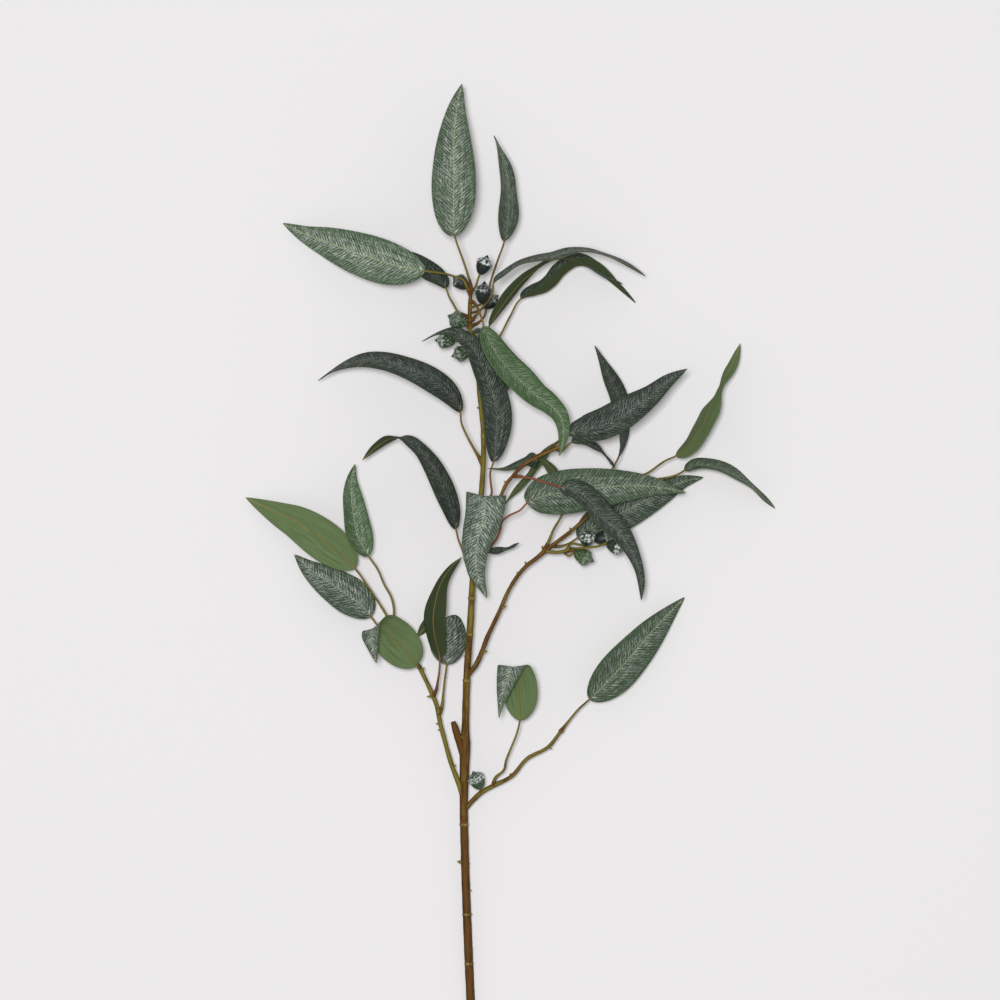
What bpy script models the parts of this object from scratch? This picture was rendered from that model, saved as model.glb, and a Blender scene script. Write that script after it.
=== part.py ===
"""A cut eucalyptus branch, lying on a flat surface.

The branch lies along +Y, cut end at -Y, and its leaves spread in the XY plane.
Every leaf, with its stalk, is one piece that meets a short spur on the wood.
Every gumnut, with its stalk, is one piece too. Buds, rings and spurs belong to
the wood that they grow from. Lengths in the tables are millimetres.
"""

import math

import bmesh
import bpy
from mathutils import Quaternion, Vector

MM = 0.001

# Driving dimensions
STEM_RADIUS_AT_CUT = 3.9
STEM_RADIUS_AT_TIP = 1.7
BLADE_THICKNESS = 0.8
STALK_RADIUS = 1.15
STALK_FOOT_RADIUS = 1.6
STALK_FOOT_LENGTH = 11.0
SPUR_CLEARANCE = 0.35
SEAT_GAP = 0.3
SQUARE_CUT = 0.7
STALK_FOOT_TAPER = 0.2
STALK_TAPER = (1.08, 0.4)
STALK_END_SHARE = 0.42
GUMNUT_RADIUS = 7.3
GUMNUT_STALK_RADIUS = 1.0

# Where the middle of the branch's box lies in the tables' own coordinates
TABLE_CENTRE = Vector((9.7, -69.97, 0.0))

# Fineness of the solids
SPAN_SAMPLES = 16
BLADE_STRIPS_ACROSS = 2
BLADE_STATIONS = 7
GUMNUT_SIDES = 8
STEM_SIDES = 8
TWIG_SIDES = 6
KNOT_SPACING = 18.0
STALK_KNOT_SPACING = 14.0
BUD_SIDES = 6
STALK_SIDES = 6
SIDE_STEPS_PER_STATION = 8
WELD_DISTANCE = 0.002
BLADE_WELD = 0.02
NUT_WELD = 0.01
SHARP_EDGE = 50

# Small sizes of what grows on the wood
RING_HALF_WIDTH = 1.5
RING_SHOULDER = 2.5
RING_CLEAR = 4.5
SPUR_STEP = 0.25
STALK_INTO_BLADE = 6.0
BLADE_BASE_HALF_WIDTH = 1.0
BASE_TAPER = 0.95
TIP_TAPER = 0.84

# The block that shaves the flat which the branch lies on
CUTTER_SIZE = Vector((60.0, 200.0, 20.0))

# Wood, from root to tip: x, y, height, radius
MAIN_STEM = [
    (-25, -515, 3.5, STEM_RADIUS_AT_CUT),
    (-26, -472, 3.5, 3.9),
    (-28.8, -405, 7, 3.9),
    (-30.6, -360, 10.5, 3.8),
    (-32, -315, 14, 3.7),
    (-32.8, -270, 17.5, 3.7),
    (-32.2, -244, 19.6, 4.3),
    (-31.9, -230, 20.7, 4.7),
    (-31.6, -219, 21.5, 4.9),
    (-31.4, -210, 22.2, 3.6),
    (-31.2, -200, 23, 3.3),
    (-30, -160, 26.8, 3.1),
    (-26.6, -108, 31, 3.0),
    (-24.3, -67, 34, 2.7),
    (-20.7, -27, 37, 2.5),
    (-16.8, 7, 39.5, 2.4),
    (-15.3, 30, 41.3, 2.3),
    (-15.3, 63, 43.2, 2.1),
    (-18, 90, 45, 2.0),
    (-22.3, 132, 48.4, 1.9),
    (-26.8, 153, 50, 1.8),
    (-27, 176, 52.7, 1.8),
    (-26.1, 189, 54, STEM_RADIUS_AT_TIP),
]
LOWER_LEFT_BRANCH = [
    (-32.8, -272, 17.4, 2.3),
    (-37.5, -256, 19.5, 2.3),
    (-43.2, -241, 21, 2.1),
    (-50.4, -216, 22.5, 2.0),
    (-54, -202, 23, 2.0),
    (-57.6, -184.5, 24, 2.0),
    (-60.5, -177, 24.5, 2.1),
    (-67.5, -162, 25, 1.8),
    (-72.9, -151, 25, 1.9),
    (-82, -137, 24.5, 1.5),
    (-91.8, -122.4, 24, 1.4),
]
LOWER_RIGHT_BRANCH = [
    (-32.6, -281, 16.7, 2.2),
    (-24, -271, 17.6, 2.2),
    (-17.1, -264.6, 18.2, 2.2),
    (-5.9, -258.3, 19, 2.1),
    (9.9, -250.2, 20, 1.8),
    (24.3, -234, 21, 1.7),
    (44.1, -222.8, 21.6, 1.6),
    (54.5, -209.7, 22, 1.6),
]
MIDDLE_RIGHT_BRANCH = [
    (-29.2, -158.4, 26.9, 2.3),
    (-22.5, -150, 28.4, 2.3),
    (-16, -136, 29.4, 2.1),
    (-11.7, -124.2, 30, 2.0),
    (-5.4, -110.7, 30.8, 1.8),
    (0.5, -98.1, 31.3, 1.8),
    (9, -79.2, 32, 1.7),
    (24.3, -59, 32, 1.8),
    (33.3, -52.2, 32, 1.9),
    (39.6, -46.8, 32, 2.3),
    (45.9, -41.9, 32, 1.8),
    (64.4, -27.9, 31.5, 1.7),
    (81, -13, 30.5, 1.5),
    (95.4, 0, 29.6, 1.5),
    (105.3, 9, 29, 1.4),
]
UPPER_RIGHT_TWIG = [
    (-22.6, -52, 35.2, 1.9),
    (-16, -37, 37, 1.8),
    (-10, -20, 38.5, 1.7),
    (0, 1.8, 42, 1.7),
    (6.3, 15.3, 44, 1.6),
    (11.7, 21.6, 45.5, 1.7),
    (16.2, 27, 46.5, 1.6),
    (31.5, 38.3, 49, 1.6),
    (42.3, 43.2, 50.3, 1.8),
    (50.4, 46.4, 51, 1.5),
    (55.8, 48.6, 51.5, 1.4),
]
GUMNUT_SPUR = [
    (40.5, -46, 32, 1.7),
    (50.4, -47.2, 33.5, 1.6),
    (58.5, -46, 34, 1.5),
    (63, -43.6, 34.5, 1.4),
]
CUT_STUB = [
    (-33, -231, 21, 3.3),
    (-37.5, -216, 24.5, 3.4),
    (-40.5, -206, 27, 3.1),
    (-42.3, -200.5, 28.4, 2.3),
]

# Pale rings and swollen joints: distance along the main stem, extra radius
MAIN_STEM_RINGS = [
    (50, 0.5), (95, 0.35), (140, 0.45), (222, 0.5), (353, 0.45), (395, 0.4),
    (428, 0.4), (520, 0.35), (575, 0.35),
]

# Buds on the wood: root point, then the way that it leans and its length
MAIN_STEM_BUDS = [
    ((-31.6, -328, 13), (-1, 0.1, 0.2), 7.5, 1.7),
    ((-31.6, -330, 13), (1, 0.2, 0.3), 5.0, 1.0),
    ((-30.8, -354, 11), (1, 0.1, 0.4), 5.6, 1.2),
    ((-30.2, -376, 9.4), (1, 0.2, 0.5), 5.8, 1.3),
    ((-31.6, -218, 21.5), (-0.6, 0.7, 0.7), 9.5, 1.5),
    ((-28.8, -142, 28), (-1, 0.3, 0.4), 4.8, 1.1),
    ((-28.6, -140, 28), (1, 0.5, 0.5), 4.6, 1.0),
    ((-25.3, -90, 32.2), (-1, 0.3, 0.4), 4.2, 0.9),
    ((-15.3, 36, 41.6), (-1, 0.4, 0.3), 4.2, 0.9),
    ((-17.6, 82, 44.4), (-1, 0.5, 0.2), 4.0, 0.9),
    ((-20.6, 115, 47), (-1, 0.5, 0.2), 4.2, 0.9),
]
LOWER_LEFT_BUDS = [
    ((-43.2, -241, 21), (1, 0.4, 0.4), 4.4, 0.9),
    ((-54, -203, 23), (-1, 0.3, 0.3), 4.6, 0.9),
    ((-53, -208, 23), (-1, 0.1, 0.2), 3.8, 0.8),
    ((-60.5, -177, 24.5), (-1, -0.15, 0.2), 6.0, 1.2),
    ((-71.5, -153.5, 25), (1, 0.5, 0.2), 4.2, 1.0),
]
LOWER_RIGHT_BUDS = [
    ((9.9, -250.2, 20), (-0.2, 1, 0.4), 3.8, 0.9),
    ((44.1, -222.8, 21.6), (0.7, -0.7, 0.3), 3.8, 0.9),
]
MIDDLE_RIGHT_BUDS = [
    ((-16.5, -137, 29.4), (1, 0.1, 0.3), 5.6, 1.2),
    ((0.8, -97.5, 31.3), (1, 0.4, 0.3), 5.6, 1.2),
    ((17, -68, 32), (-0.5, 0.9, 0.3), 4.2, 0.9),
    ((24, -59.2, 32), (-0.4, 1, 0.3), 4.4, 0.9),
    ((39.6, -46.8, 32), (-0.3, 1, 0.2), 6.2, 1.2),
    ((64.4, -27.9, 31.5), (-0.5, 1, 0.2), 3.8, 0.9),
]
UPPER_RIGHT_BUDS = [
    ((6.3, 15.3, 44), (-1, 0.6, 0.2), 3.6, 0.8),
    ((31.5, 38.3, 49), (0.5, -1, 0.2), 3.4, 0.8),
]

# Leaves. "stalk" runs from the middle of the wood to the blade, "rib" from the
# blade's base to its tip. "roll" turns the blade about its rib, in degrees,
# evenly spread from base to tip: 0 shows the upper side, 180 the under side.
LEAVES = [
    dict(name="leaf_01", wood="main_stem", width=40, fold=8, roll=[0, 0, 0],
         stalk=[(-26.1, 189, 54), (-27, 196, 56), (-29, 203, 58), (-33, 215, 62)],
         rib=[(-40.5, 237, 66), (-41.6, 274, 68), (-41.4, 297, 66), (-41.2, 324, 60),
              (-39.2, 351, 51), (-34.4, 375, 41)]),
    dict(name="leaf_02", wood="main_stem", width=33, fold=3, roll=[58, 64, 64],
         stalk=[(-27, 156, 50.3), (-19, 160, 44), (-13.5, 167, 37), (-12, 180, 35),
                (-8.6, 196, 40), (-2.3, 215, 49)],
         rib=[(4.1, 233, 55), (7, 256, 60), (7, 280, 60), (3.5, 305, 55), (-5.4, 328.5, 44)]),
    dict(name="leaf_03", wood="main_stem", width=40, fold=6, roll=[10, 0, 0, -4],
         stalk=[(-26.2, 184.5, 53.5), (-29.5, 191, 56.5), (-34, 198.5, 58.5),
                (-38.3, 200, 59), (-46, 202.5, 59)],
         rib=[(-67.5, 206, 57), (-89, 209.7, 53), (-122.4, 220.5, 40), (-153, 232, 24),
              (-177, 241, 10), (-197, 251, 0.8)]),
    dict(name="leaf_04", wood="main_stem", width=27, fold=8, roll=[45, 45, 40],
         stalk=[(-27, 164, 51.3), (-33, 167, 47), (-38.3, 170, 43.5), (-41.4, 175.5, 42),
                (-46, 183.6, 42.5)],
         rib=[(-48.6, 190.8, 43), (-60, 202, 37), (-76, 215, 28), (-94, 222, 18),
              (-112, 226, 10)]),
    dict(name="leaf_05", wood="main_stem", width=24, fold=3, stations=11,
         roll=[-79, -82, -80, -83, -72, -66, -62],
         stalk=[(-27, 161, 51), (-23.9, 163, 52.5), (-19.8, 168.3, 54.5), (-14.9, 173.7, 60),
                (-9.9, 180, 67), (-6.3, 187.2, 71)],
         rib=[(-5.6, 195.4, 73), (4.1, 203.4, 75), (19.1, 212.7, 77), (33.9, 216.5, 78),
              (47.4, 218.2, 77), (65.3, 223.5, 73), (80.3, 223.6, 67), (96.7, 219.6, 59),
              (113, 213, 49), (131.3, 202, 35)]),
    dict(name="leaf_06", wood="main_stem", width=24, fold=6, stations=11,
         roll=[-118, -112, -108, -100, -78, -68, -66],
         stalk=[(-22.8, 137, 48.8), (-17, 141, 47), (-12.5, 149, 45)],
         rib=[(-9.5, 157, 45), (1.2, 174.1, 47), (10.1, 186.4, 48), (21.2, 198.6, 49),
              (33.9, 208.5, 49), (47.4, 216, 48), (62.4, 217, 46), (84.6, 207.3, 39),
              (96.7, 200.7, 33), (110.7, 195.3, 25)]),
    dict(name="leaf_07", wood="main_stem", width=34, fold=40, stations=11,
         roll=[-70, -78, -80, -80, -80],
         stalk=[(-21.5, 126, 48), (-13, 131, 39), (-0.8, 147, 30), (9, 165.6, 26)],
         rib=[(19.1, 182, 24), (32.4, 185.7, 22), (41.4, 188.6, 20.5), (50.4, 195.3, 19.5),
              (57.9, 204.3, 19), (72, 212.4, 18.5), (82.8, 209.7, 17), (92.7, 203.4, 15),
              (101.2, 196.8, 13), (110.1, 189.4, 11), (122.8, 178.9, 8)]),
    dict(name="leaf_08", wood="main_stem", width=32, fold=8, stations=9,
         roll=[-40, -40, -38, -30, -30],
         stalk=[(-26.8, 179, 53), (-22.5, 176.5, 57.5), (-18.7, 169, 62.5), (-16, 162, 64.5)],
         rib=[(-14.4, 155.7, 65), (-6, 136, 66), (5.7, 120, 66), (18.3, 107.4, 65),
              (31.5, 94.5, 63), (44, 86, 61), (53.5, 76, 60), (57, 63, 60), (55.5, 50, 60),
              (53.6, 39.6, 57)]),
    dict(name="leaf_09", wood="main_stem", width=34, fold=8, stations=9, roll=[45, 45, 45, 50, 60],
         stalk=[(-17.8, -3, 38.8), (-11, 0, 41.5), (-7.5, 6, 44.5), (-8.2, 14, 47.5),
                (-8.7, 25, 50.5)],
         rib=[(-5.9, 34.2, 53), (-4, 55.8, 57), (-3.6, 76.5, 59), (-7.2, 96.3, 60),
              (-14.4, 116.1, 60.5), (-23.4, 135, 60.5), (-34.2, 146.7, 60), (-44.1, 151.2, 58),
              (-54, 149.9, 55.5), (-70, 143, 49)]),
    dict(name="leaf_10", wood="upper_right_twig", width=36, fold=8, roll=[-42, -42, -42],
         stalk=[(55.8, 48.6, 51.5), (58.5, 53.1, 53)],
         rib=[(62.1, 59.4, 55), (76.5, 63, 58), (95.4, 68.4, 62), (115.2, 79.2, 64),
              (135, 92.7, 64), (151.2, 107.1, 62), (168.3, 117.9, 58)]),
    dict(name="leaf_11", wood="middle_right_branch", width=34, fold=6, roll=[80, 76, 56, 54, 52],
         stalk=[(94.4, -1, 29.7), (95.5, 6, 31.5), (98, 20, 33), (102.2, 29.7, 34)],
         rib=[(107, 38.7, 34), (109.6, 51.3, 34), (110.7, 62, 34.5), (109.8, 76.5, 35),
              (106.2, 91.8, 35), (98.1, 112.5, 33), (85.5, 139.5, 29)]),
    dict(name="leaf_12", wood="upper_right_twig", width=22, fold=6, roll=[-66, -70, -70],
         stalk=[(50.6, 46.5, 51), (55, 44.5, 48.5), (60, 48.5, 47.5)],
         rib=[(64.8, 52.2, 47), (76.5, 51.3, 45.5), (88.2, 45.9, 43.5), (97, 37.5, 41.5),
              (104, 28.5, 40)]),
    dict(name="leaf_13", wood="main_stem", width=40, fold=6, peak=0.27, roll=[-12, -8, -8],
         stalk=[(-24, -60.5, 34.5), (-17.3, -53.1, 36.8), (-10.4, -44.6, 39), (-3.2, -35.1, 41),
                (0.2, -26.6, 42.5), (1.6, -19.5, 44), (6.8, -14.9, 45.5), (18.9, -8.6, 48)],
         rib=[(24.3, -2.7, 49), (36, 2.7, 51), (58.5, 7, 53), (77.4, 9.3, 53),
              (108, 12.3, 50), (133.2, 12.6, 46), (151, 10.2, 42), (167.4, 6.6, 37)]),
    dict(name="leaf_14", wood="upper_right_twig", width=32, fold=8, stations=11,
         roll=[-40, -56, -58, -58, -50],
         stalk=[(12, 22, 45.6), (20.7, 20.7, 50), (27.5, 19.8, 53.5), (39.2, 16.2, 59)],
         rib=[(53.6, 12, 64), (67.5, 9, 68), (81, -0.9, 71), (91.8, -14.4, 71.5),
              (106.2, -28.8, 70), (117, -45, 66), (124.2, -61.2, 60), (126.9, -73.8, 54),
              (127.3, -90.3, 45)]),
    dict(name="leaf_15", wood="middle_right_branch", width=34, fold=6, roll=[-8, -8, -8],
         stalk=[(47, -41, 32), (52, -42, 28.5), (59.4, -40.5, 25)],
         rib=[(70.2, -34.2, 22), (87.3, -22.5, 20), (103.5, -14.4, 18.5), (126.9, -2.7, 17),
              (146.7, 7.2, 15), (164.7, 16.2, 13), (184.1, 20.7, 10)]),
    dict(name="leaf_16", wood="middle_right_branch", width=32, fold=8, stations=9,
         roll=[122, 122, 118, 99, 126, 136],
         stalk=[(100.8, 4.9, 29.3), (104, 12, 27), (114, 17.5, 26.3), (133.2, 24.4, 27.5),
                (149.4, 35.5, 29)],
         rib=[(159.3, 40, 30), (171, 49.5, 31), (179.5, 63, 31), (190, 83.5, 29.5),
              (196.2, 98.1, 27), (201.5, 108, 25), (210.5, 123.5, 21), (217.4, 141.5, 15)]),
    dict(name="leaf_17", wood="middle_right_branch", width=26, fold=8, roll=[-60, -60, -56, -50],
         stalk=[(105.3, 9, 29), (120, 13.2, 30), (140, 18.5, 30), (153, 20.7, 29.5),
                (161.1, 23.4, 29)],
         rib=[(167.1, 27, 28), (177.3, 31.4, 27), (189, 31.2, 25), (200.3, 28.6, 21.5),
              (212.9, 22.4, 17), (225.9, 13.4, 11.5), (241.2, 0, 5), (249.6, -7.7, 1)]),
    dict(name="leaf_18", wood="main_stem", width=36, fold=8, stations=13,
         roll=[180, 180, 184, 188, 190, 190],
         stalk=[(-21.6, -41, 36), (-17.5, -40, 41)],
         rib=[(-14.5, -35, 46), (-13.4, -22, 49.5), (-12.8, -10, 51.5), (-12.5, -1.5, 53.5),
              (-12.5, 3.4, 57), (-12.6, 2, 60.8), (-13, -5, 63), (-14.5, -14.5, 63.6),
              (-18.8, -29.7, 62.5), (-22, -45, 60), (-21, -64, 56), (-11.8, -88.2, 49)]),
    dict(name="leaf_19", wood="main_stem", width=11, fold=6, roll=[-55, -60, -60],
         stalk=[(-19.4, -14, 37.8), (-15, -20, 34), (-15.5, -30, 30.5)],
         rib=[(-15.5, -39, 29), (-11, -45, 29), (-4, -46, 29.5), (5, -44.6, 30.5),
              (17.1, -38.7, 32)]),
    dict(name="leaf_20", wood="middle_right_branch", width=17, fold=6, stations=11,
         roll=[-125, -120, -112, 60, 60, 62],
         stalk=[(39.6, -46.8, 32), (43.4, -38.7, 33), (48.6, -26.1, 34), (54.9, -15.3, 34.5),
                (58.5, -4.5, 35)],
         rib=[(57.8, 5.5, 35.5), (52.2, 18, 36), (45.9, 28.8, 36.5), (38.7, 35.4, 36.5),
              (27, 35.1, 36.5), (16.2, 31.4, 35.5), (2.7, 27.9, 34), (-11, 28.6, 32)]),
    dict(name="leaf_21", wood="upper_right_twig", width=15, fold=6, roll=[-120, -122, -120],
         stalk=[(46.5, 44.9, 50.7), (49.5, 50, 46), (54, 53.5, 38), (53.5, 53.5, 31)],
         rib=[(48.5, 50.4, 26), (41.4, 43.6, 23), (34.2, 34.2, 21), (26.6, 22.9, 20),
              (16.2, 10.8, 20), (7.2, 0, 20), (1.8, -8.1, 20)]),
    dict(name="leaf_22", wood="main_stem", width=33, fold=3, roll=[50, 56, 58, 60],
         stalk=[(-15.3, 31.5, 41.4), (-19.5, 39.5, 43), (-24.3, 47.7, 44.3),
                (-29.7, 57.6, 45.5), (-35.1, 71.1, 48)],
         rib=[(-35.6, 79.2, 49), (-41, 89.5, 51), (-48, 97.5, 52), (-61.5, 107.5, 53),
              (-87.3, 119.7, 53), (-108, 125.1, 50), (-122.4, 126, 46), (-143.1, 120.6, 39),
              (-164.2, 108, 28)]),
    dict(name="leaf_23", wood="main_stem", width=30, fold=3, stations=13,
         roll=[48, 55, 55, 66, 104, 110],
         stalk=[(-24.6, -71, 33.7), (-28.8, -61.5, 36), (-31.5, -51.3, 38.5),
                (-34.5, -43.2, 40.2), (-37.4, -36, 41.5)],
         rib=[(-39.6, -26.1, 43), (-43.4, -10.8, 46), (-48, 2.2, 48), (-54.4, 17.2, 50),
              (-64, 34.5, 52), (-74.4, 47.2, 52), (-88.2, 56.3, 50), (-99.5, 55.4, 46),
              (-110.7, 48.6, 41), (-124.2, 36, 34)]),
    dict(name="leaf_24", wood="lower_left_branch", width=29, fold=22, roll=[30, 30, 25],
         stalk=[(-91.8, -122.4, 24), (-95.9, -109.8, 24), (-95.8, -99, 25), (-98.1, -88.2, 26),
                (-104.4, -76.5, 28), (-110.7, -62.1, 30)],
         rib=[(-118.8, -50.4, 32), (-128, -34.2, 34), (-132.5, -13.5, 34), (-134.5, 4.5, 32),
              (-134, 19.8, 28), (-131, 32.4, 24)]),
    dict(name="leaf_25", wood="lower_left_branch", width=36, fold=5, roll=[180, 180, 180],
         stalk=[(-88, -128, 24.2), (-94.5, -122.5, 26.5), (-101, -107, 27.5),
                (-108.9, -93.6, 28), (-117.9, -80.1, 28)],
         rib=[(-131.4, -61.2, 28), (-144, -49, 27), (-163.8, -33.5, 24), (-183.6, -20.3, 19),
              (-199.8, -12.8, 13.5), (-214.2, -5.9, 8), (-230.4, 2.1, 2)]),
    dict(name="leaf_26", wood="lower_left_branch", width=36, fold=8, roll=[20, 20, 20],
         stalk=[(-82, -137, 24.5), (-90, -134, 21.5), (-101, -123, 19.5), (-110.7, -113.4, 19)],
         rib=[(-117, -105.3, 19), (-128.7, -92.7, 19), (-144, -81.9, 18), (-160.2, -71.1, 15),
              (-172.8, -62.1, 12), (-186.3, -49.5, 8)]),
    dict(name="leaf_27", wood="lower_left_branch", width=38, fold=6, stations=13,
         roll=[180, 180, 165, 125, 110],
         stalk=[(-72.9, -151, 25), (-73.2, -151, 29.5)],
         rib=[(-74.9, -149, 33.5), (-90, -131.4, 37), (-99, -122.5, 40.5), (-105.5, -116.5, 45),
              (-110.5, -114, 50), (-114.5, -116, 54), (-116, -122.5, 56),
              (-114, -134, 55), (-111, -146.7, 52)]),
    dict(name="leaf_28", wood="lower_right_branch", width=33, fold=6, stations=13,
         roll=[185, 168, 150, 163, 166],
         stalk=[(-5.9, -258.3, 19), (-4.5, -251.6, 21.5), (3.6, -243.9, 23), (5.4, -235.8, 25),
                (9.9, -224.1, 28), (14.4, -213, 31)],
         rib=[(18, -198.7, 34), (18.6, -184, 37), (17.6, -170, 39.5), (15.4, -157.5, 41.5),
              (13.2, -151.5, 44), (11.4, -150.2, 47.5), (9.6, -153, 50.5), (6.4, -161.5, 52),
              (3, -173, 51.5), (0.6, -185, 50), (-0.9, -196.2, 47.5)]),
    dict(name="leaf_29", wood="lower_right_branch", width=37, fold=7, roll=[16, 16, 16],
         stalk=[(54.5, -209.7, 22), (61.7, -200.3, 22.5), (71.1, -189, 23)],
         rib=[(81, -180, 23.5), (99, -162, 24), (118.8, -140.4, 23), (139.5, -117, 19),
              (154.8, -100.8, 13.5), (167, -88.2, 8)]),
    dict(name="leaf_30", wood="lower_left_branch", width=30, fold=6, stations=11,
         roll=[130, 130, 128, 125],
         stalk=[(-60.5, -177, 24.5), (-58, -172.5, 28), (-56.2, -164, 31.5), (-54.6, -153, 35)],
         rib=[(-54.4, -141.3, 38), (-58, -126, 40), (-60, -108, 41), (-57.6, -90, 40),
              (-52.3, -73.8, 37.5), (-43.2, -60.3, 33), (-34.6, -51.6, 29)]),
    dict(name="leaf_31", wood="lower_left_branch", width=34, fold=8, stations=13,
         roll=[8, 8, 25, 75, 90],
         stalk=[(-55.6, -194.5, 23.4), (-52.4, -186, 23.4), (-51.6, -178, 23), (-50.2, -164.3, 22.5)],
         rib=[(-48.2, -148.5, 22), (-47.7, -135, 21), (-47.3, -123.5, 20), (-47.6, -114.5, 18.4),
              (-50, -108.5, 15), (-54.5, -107.4, 12), (-62.1, -110.2, 10.4), (-68.4, -116, 10),
              (-75, -124, 10)]),
]

# Gumnuts. "heart" is the middle of the nut, "point" the way that its beak looks
GUMNUTS = [
    dict(name="gumnut_01", wood="main_stem", heart=(-14.4, 211.9, 56), point=(0.38, 0.92, 0.1),
         size=0.95, stalk=[(-26.6, 186.5, 53.8), (-22.4, 191, 55.5), (-19.8, 198.5, 55.5)]),
    dict(name="gumnut_02", wood="main_stem", heart=(-14.9, 187, 58), point=(0.12, 0.99, 0.1),
         size=1.04, stalk=[(-27, 173, 52.4), (-21.5, 174.5, 54)]),
    dict(name="gumnut_03", wood="main_stem", heart=(-36.2, 196.7, 43.5), point=(-0.75, 0.6, -0.2),
         size=0.9, stalk=[(-26.2, 187, 53.9), (-28.6, 190, 49.5)]),
    dict(name="gumnut_04", wood="main_stem", heart=(-7.8, 179.1, 46), point=(0.7, 0.6, -0.2),
         size=0.9, stalk=[(-27, 168, 51.8), (-20.5, 170, 47.5)]),
    dict(name="gumnut_05", wood="main_stem", heart=(-38.8, 162.2, 55.4), point=(-0.85, 0.4, 0.3),
         size=1.02, stalk=[(-27, 153.5, 50), (-29.6, 156, 51.2)]),
    dict(name="gumnut_06", wood="main_stem", heart=(-50, 143.6, 43.5), point=(-1, 0.05, -0.1),
         size=0.95, stalk=[(-24.6, 143.5, 49.3), (-32, 143.4, 46)]),
    dict(name="gumnut_07", wood="main_stem", heart=(-35.5, 132, 42.5), point=(-0.9, -0.3, -0.1),
         size=0.95, stalk=[(-22.5, 134, 48.7), (-25.8, 133.4, 46)]),
    dict(name="gumnut_08", wood="main_stem", heart=(-19.5, 148.5, 38.6), point=(0.3, 0, -0.95),
         size=0.9, stalk=[(-26.5, 150.8, 49.8), (-23.4, 149.6, 48)]),
    dict(name="gumnut_09", wood="main_stem", heart=(4.5, 105, 37), point=(0.8, 0.3, -0.5),
         size=0.9, stalk=[(-18.6, 96, 45.4), (-10, 99, 42)]),
    dict(name="gumnut_10", wood="lower_right_branch", heart=(-21.1, -252.5, 27),
         point=(-0.35, 0.8, 0.45), size=1.0, stalk=[(-17.1, -264.6, 18.2), (-17.4, -262.6, 21.2)]),
    dict(name="gumnut_11", wood="middle_right_branch", heart=(76.2, -51.6, 36),
         point=(0.85, -0.4, 0.1), size=1.0, stalk=[(57.5, -46.4, 34), (62, -50.5, 34.8)]),
    dict(name="gumnut_12", wood="middle_right_branch", heart=(78.6, -34, 38.5),
         point=(0.1, 0.7, 0.7), size=0.95, stalk=[(59.5, -45.6, 34.1), (63.5, -40, 35.5)]),
    dict(name="gumnut_13", wood="middle_right_branch", heart=(93.6, -34.2, 31),
         point=(0.9, 0.2, -0.2), size=0.9, stalk=[(54.5, -47, 34), (59, -47, 29),
                                                  (78, -42.5, 27.8)]),
    dict(name="gumnut_14", wood="middle_right_branch", heart=(105.4, -42.2, 43),
         point=(0.9, -0.3, 0.3), size=0.98, stalk=[(63, -43.6, 34.5), (66.5, -43.8, 38.5),
                                                   (75, -43.2, 44), (88, -41.8, 44)]),
]

# A gumnut's outline, as shares of its radius: distance from its axis, height
GUMNUT_OUTLINE = [
    (0.0, -1.4), (0.34, -1.34), (0.8, -0.5), (1.0, 0.1),
    (1.0, 0.34), (0.58, 0.66), (0.0, 1.36),
]
GUMNUT_RIB_DEPTH = 0.07

# Where the nut's foot is and where its stalk ends inside it, in nut radiuses
NUT_FOOT = 1.3
NUT_STALK_END = 0.85
NUT_STALK_SPACING = 5.0

# A bud's middle knot as a share of its length, and its three radiuses as shares
BUD_MIDDLE = 0.62
BUD_RADIUSES = (1.2, 1.35, 0.6)
SPUR_SWELLING = 1.1


class Route:
    """A smooth curve through points, read by distance along it."""

    def __init__(self, points):
        self.points = smooth_points([Vector(point) for point in points])
        self.lengths = [0.0]
        for before, after in zip(self.points, self.points[1:]):
            self.lengths.append(self.lengths[-1] + (after - before).length)

    @property
    def length(self):
        return self.lengths[-1]

    def span(self, distance):
        distance = min(max(distance, 0.0), self.length)
        index = 0
        while index < len(self.lengths) - 2 and self.lengths[index + 1] < distance:
            index += 1
        step = self.lengths[index + 1] - self.lengths[index]
        return index, (distance - self.lengths[index]) / step

    def at(self, distance):
        index, share = self.span(distance)
        return self.points[index].lerp(self.points[index + 1], share)

    def heading(self, distance):
        step = 0.4
        return (self.at(distance + step) - self.at(distance - step)).normalized()

    def distance_of(self, point_number):
        return self.lengths[point_number * SPAN_SAMPLES]


def smooth_points(points):
    """Hermite spans whose slopes are weighed by the lengths on either side."""
    slopes = []
    for index, point in enumerate(points):
        before = points[max(index - 1, 0)]
        after = points[min(index + 1, len(points) - 1)]
        length_before = (point - before).length
        length_after = (after - point).length
        if index == 0:
            slopes.append((after - point) / length_after)
        elif index == len(points) - 1:
            slopes.append((point - before) / length_before)
        else:
            slope_before = (point - before) / length_before
            slope_after = (after - point) / length_after
            total = length_before + length_after
            slopes.append((slope_before * length_after + slope_after * length_before) / total)
    result = []
    for index in range(len(points) - 1):
        start = points[index]
        end = points[index + 1]
        length = (end - start).length
        for sample in range(SPAN_SAMPLES):
            t = sample / SPAN_SAMPLES
            result.append(
                start * (2 * t**3 - 3 * t**2 + 1)
                + slopes[index] * length * (t**3 - 2 * t**2 + t)
                + end * (3 * t**2 - 2 * t**3)
                + slopes[index + 1] * length * (t**3 - t**2)
            )
    result.append(points[-1].copy())
    return result


def spread(values, share):
    """Reads a list of numbers that are evenly spread over 0 to 1, smoothly."""
    place = share * (len(values) - 1)
    index = min(int(place), len(values) - 2)
    local = place - index
    eased = local * local * (3 - 2 * local)
    return values[index] + (values[index + 1] - values[index]) * eased


def to_world(point):
    return (Vector(point) - TABLE_CENTRE) * MM


def clear_scene():
    for item in list(bpy.data.objects):
        bpy.data.objects.remove(item)


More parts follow.
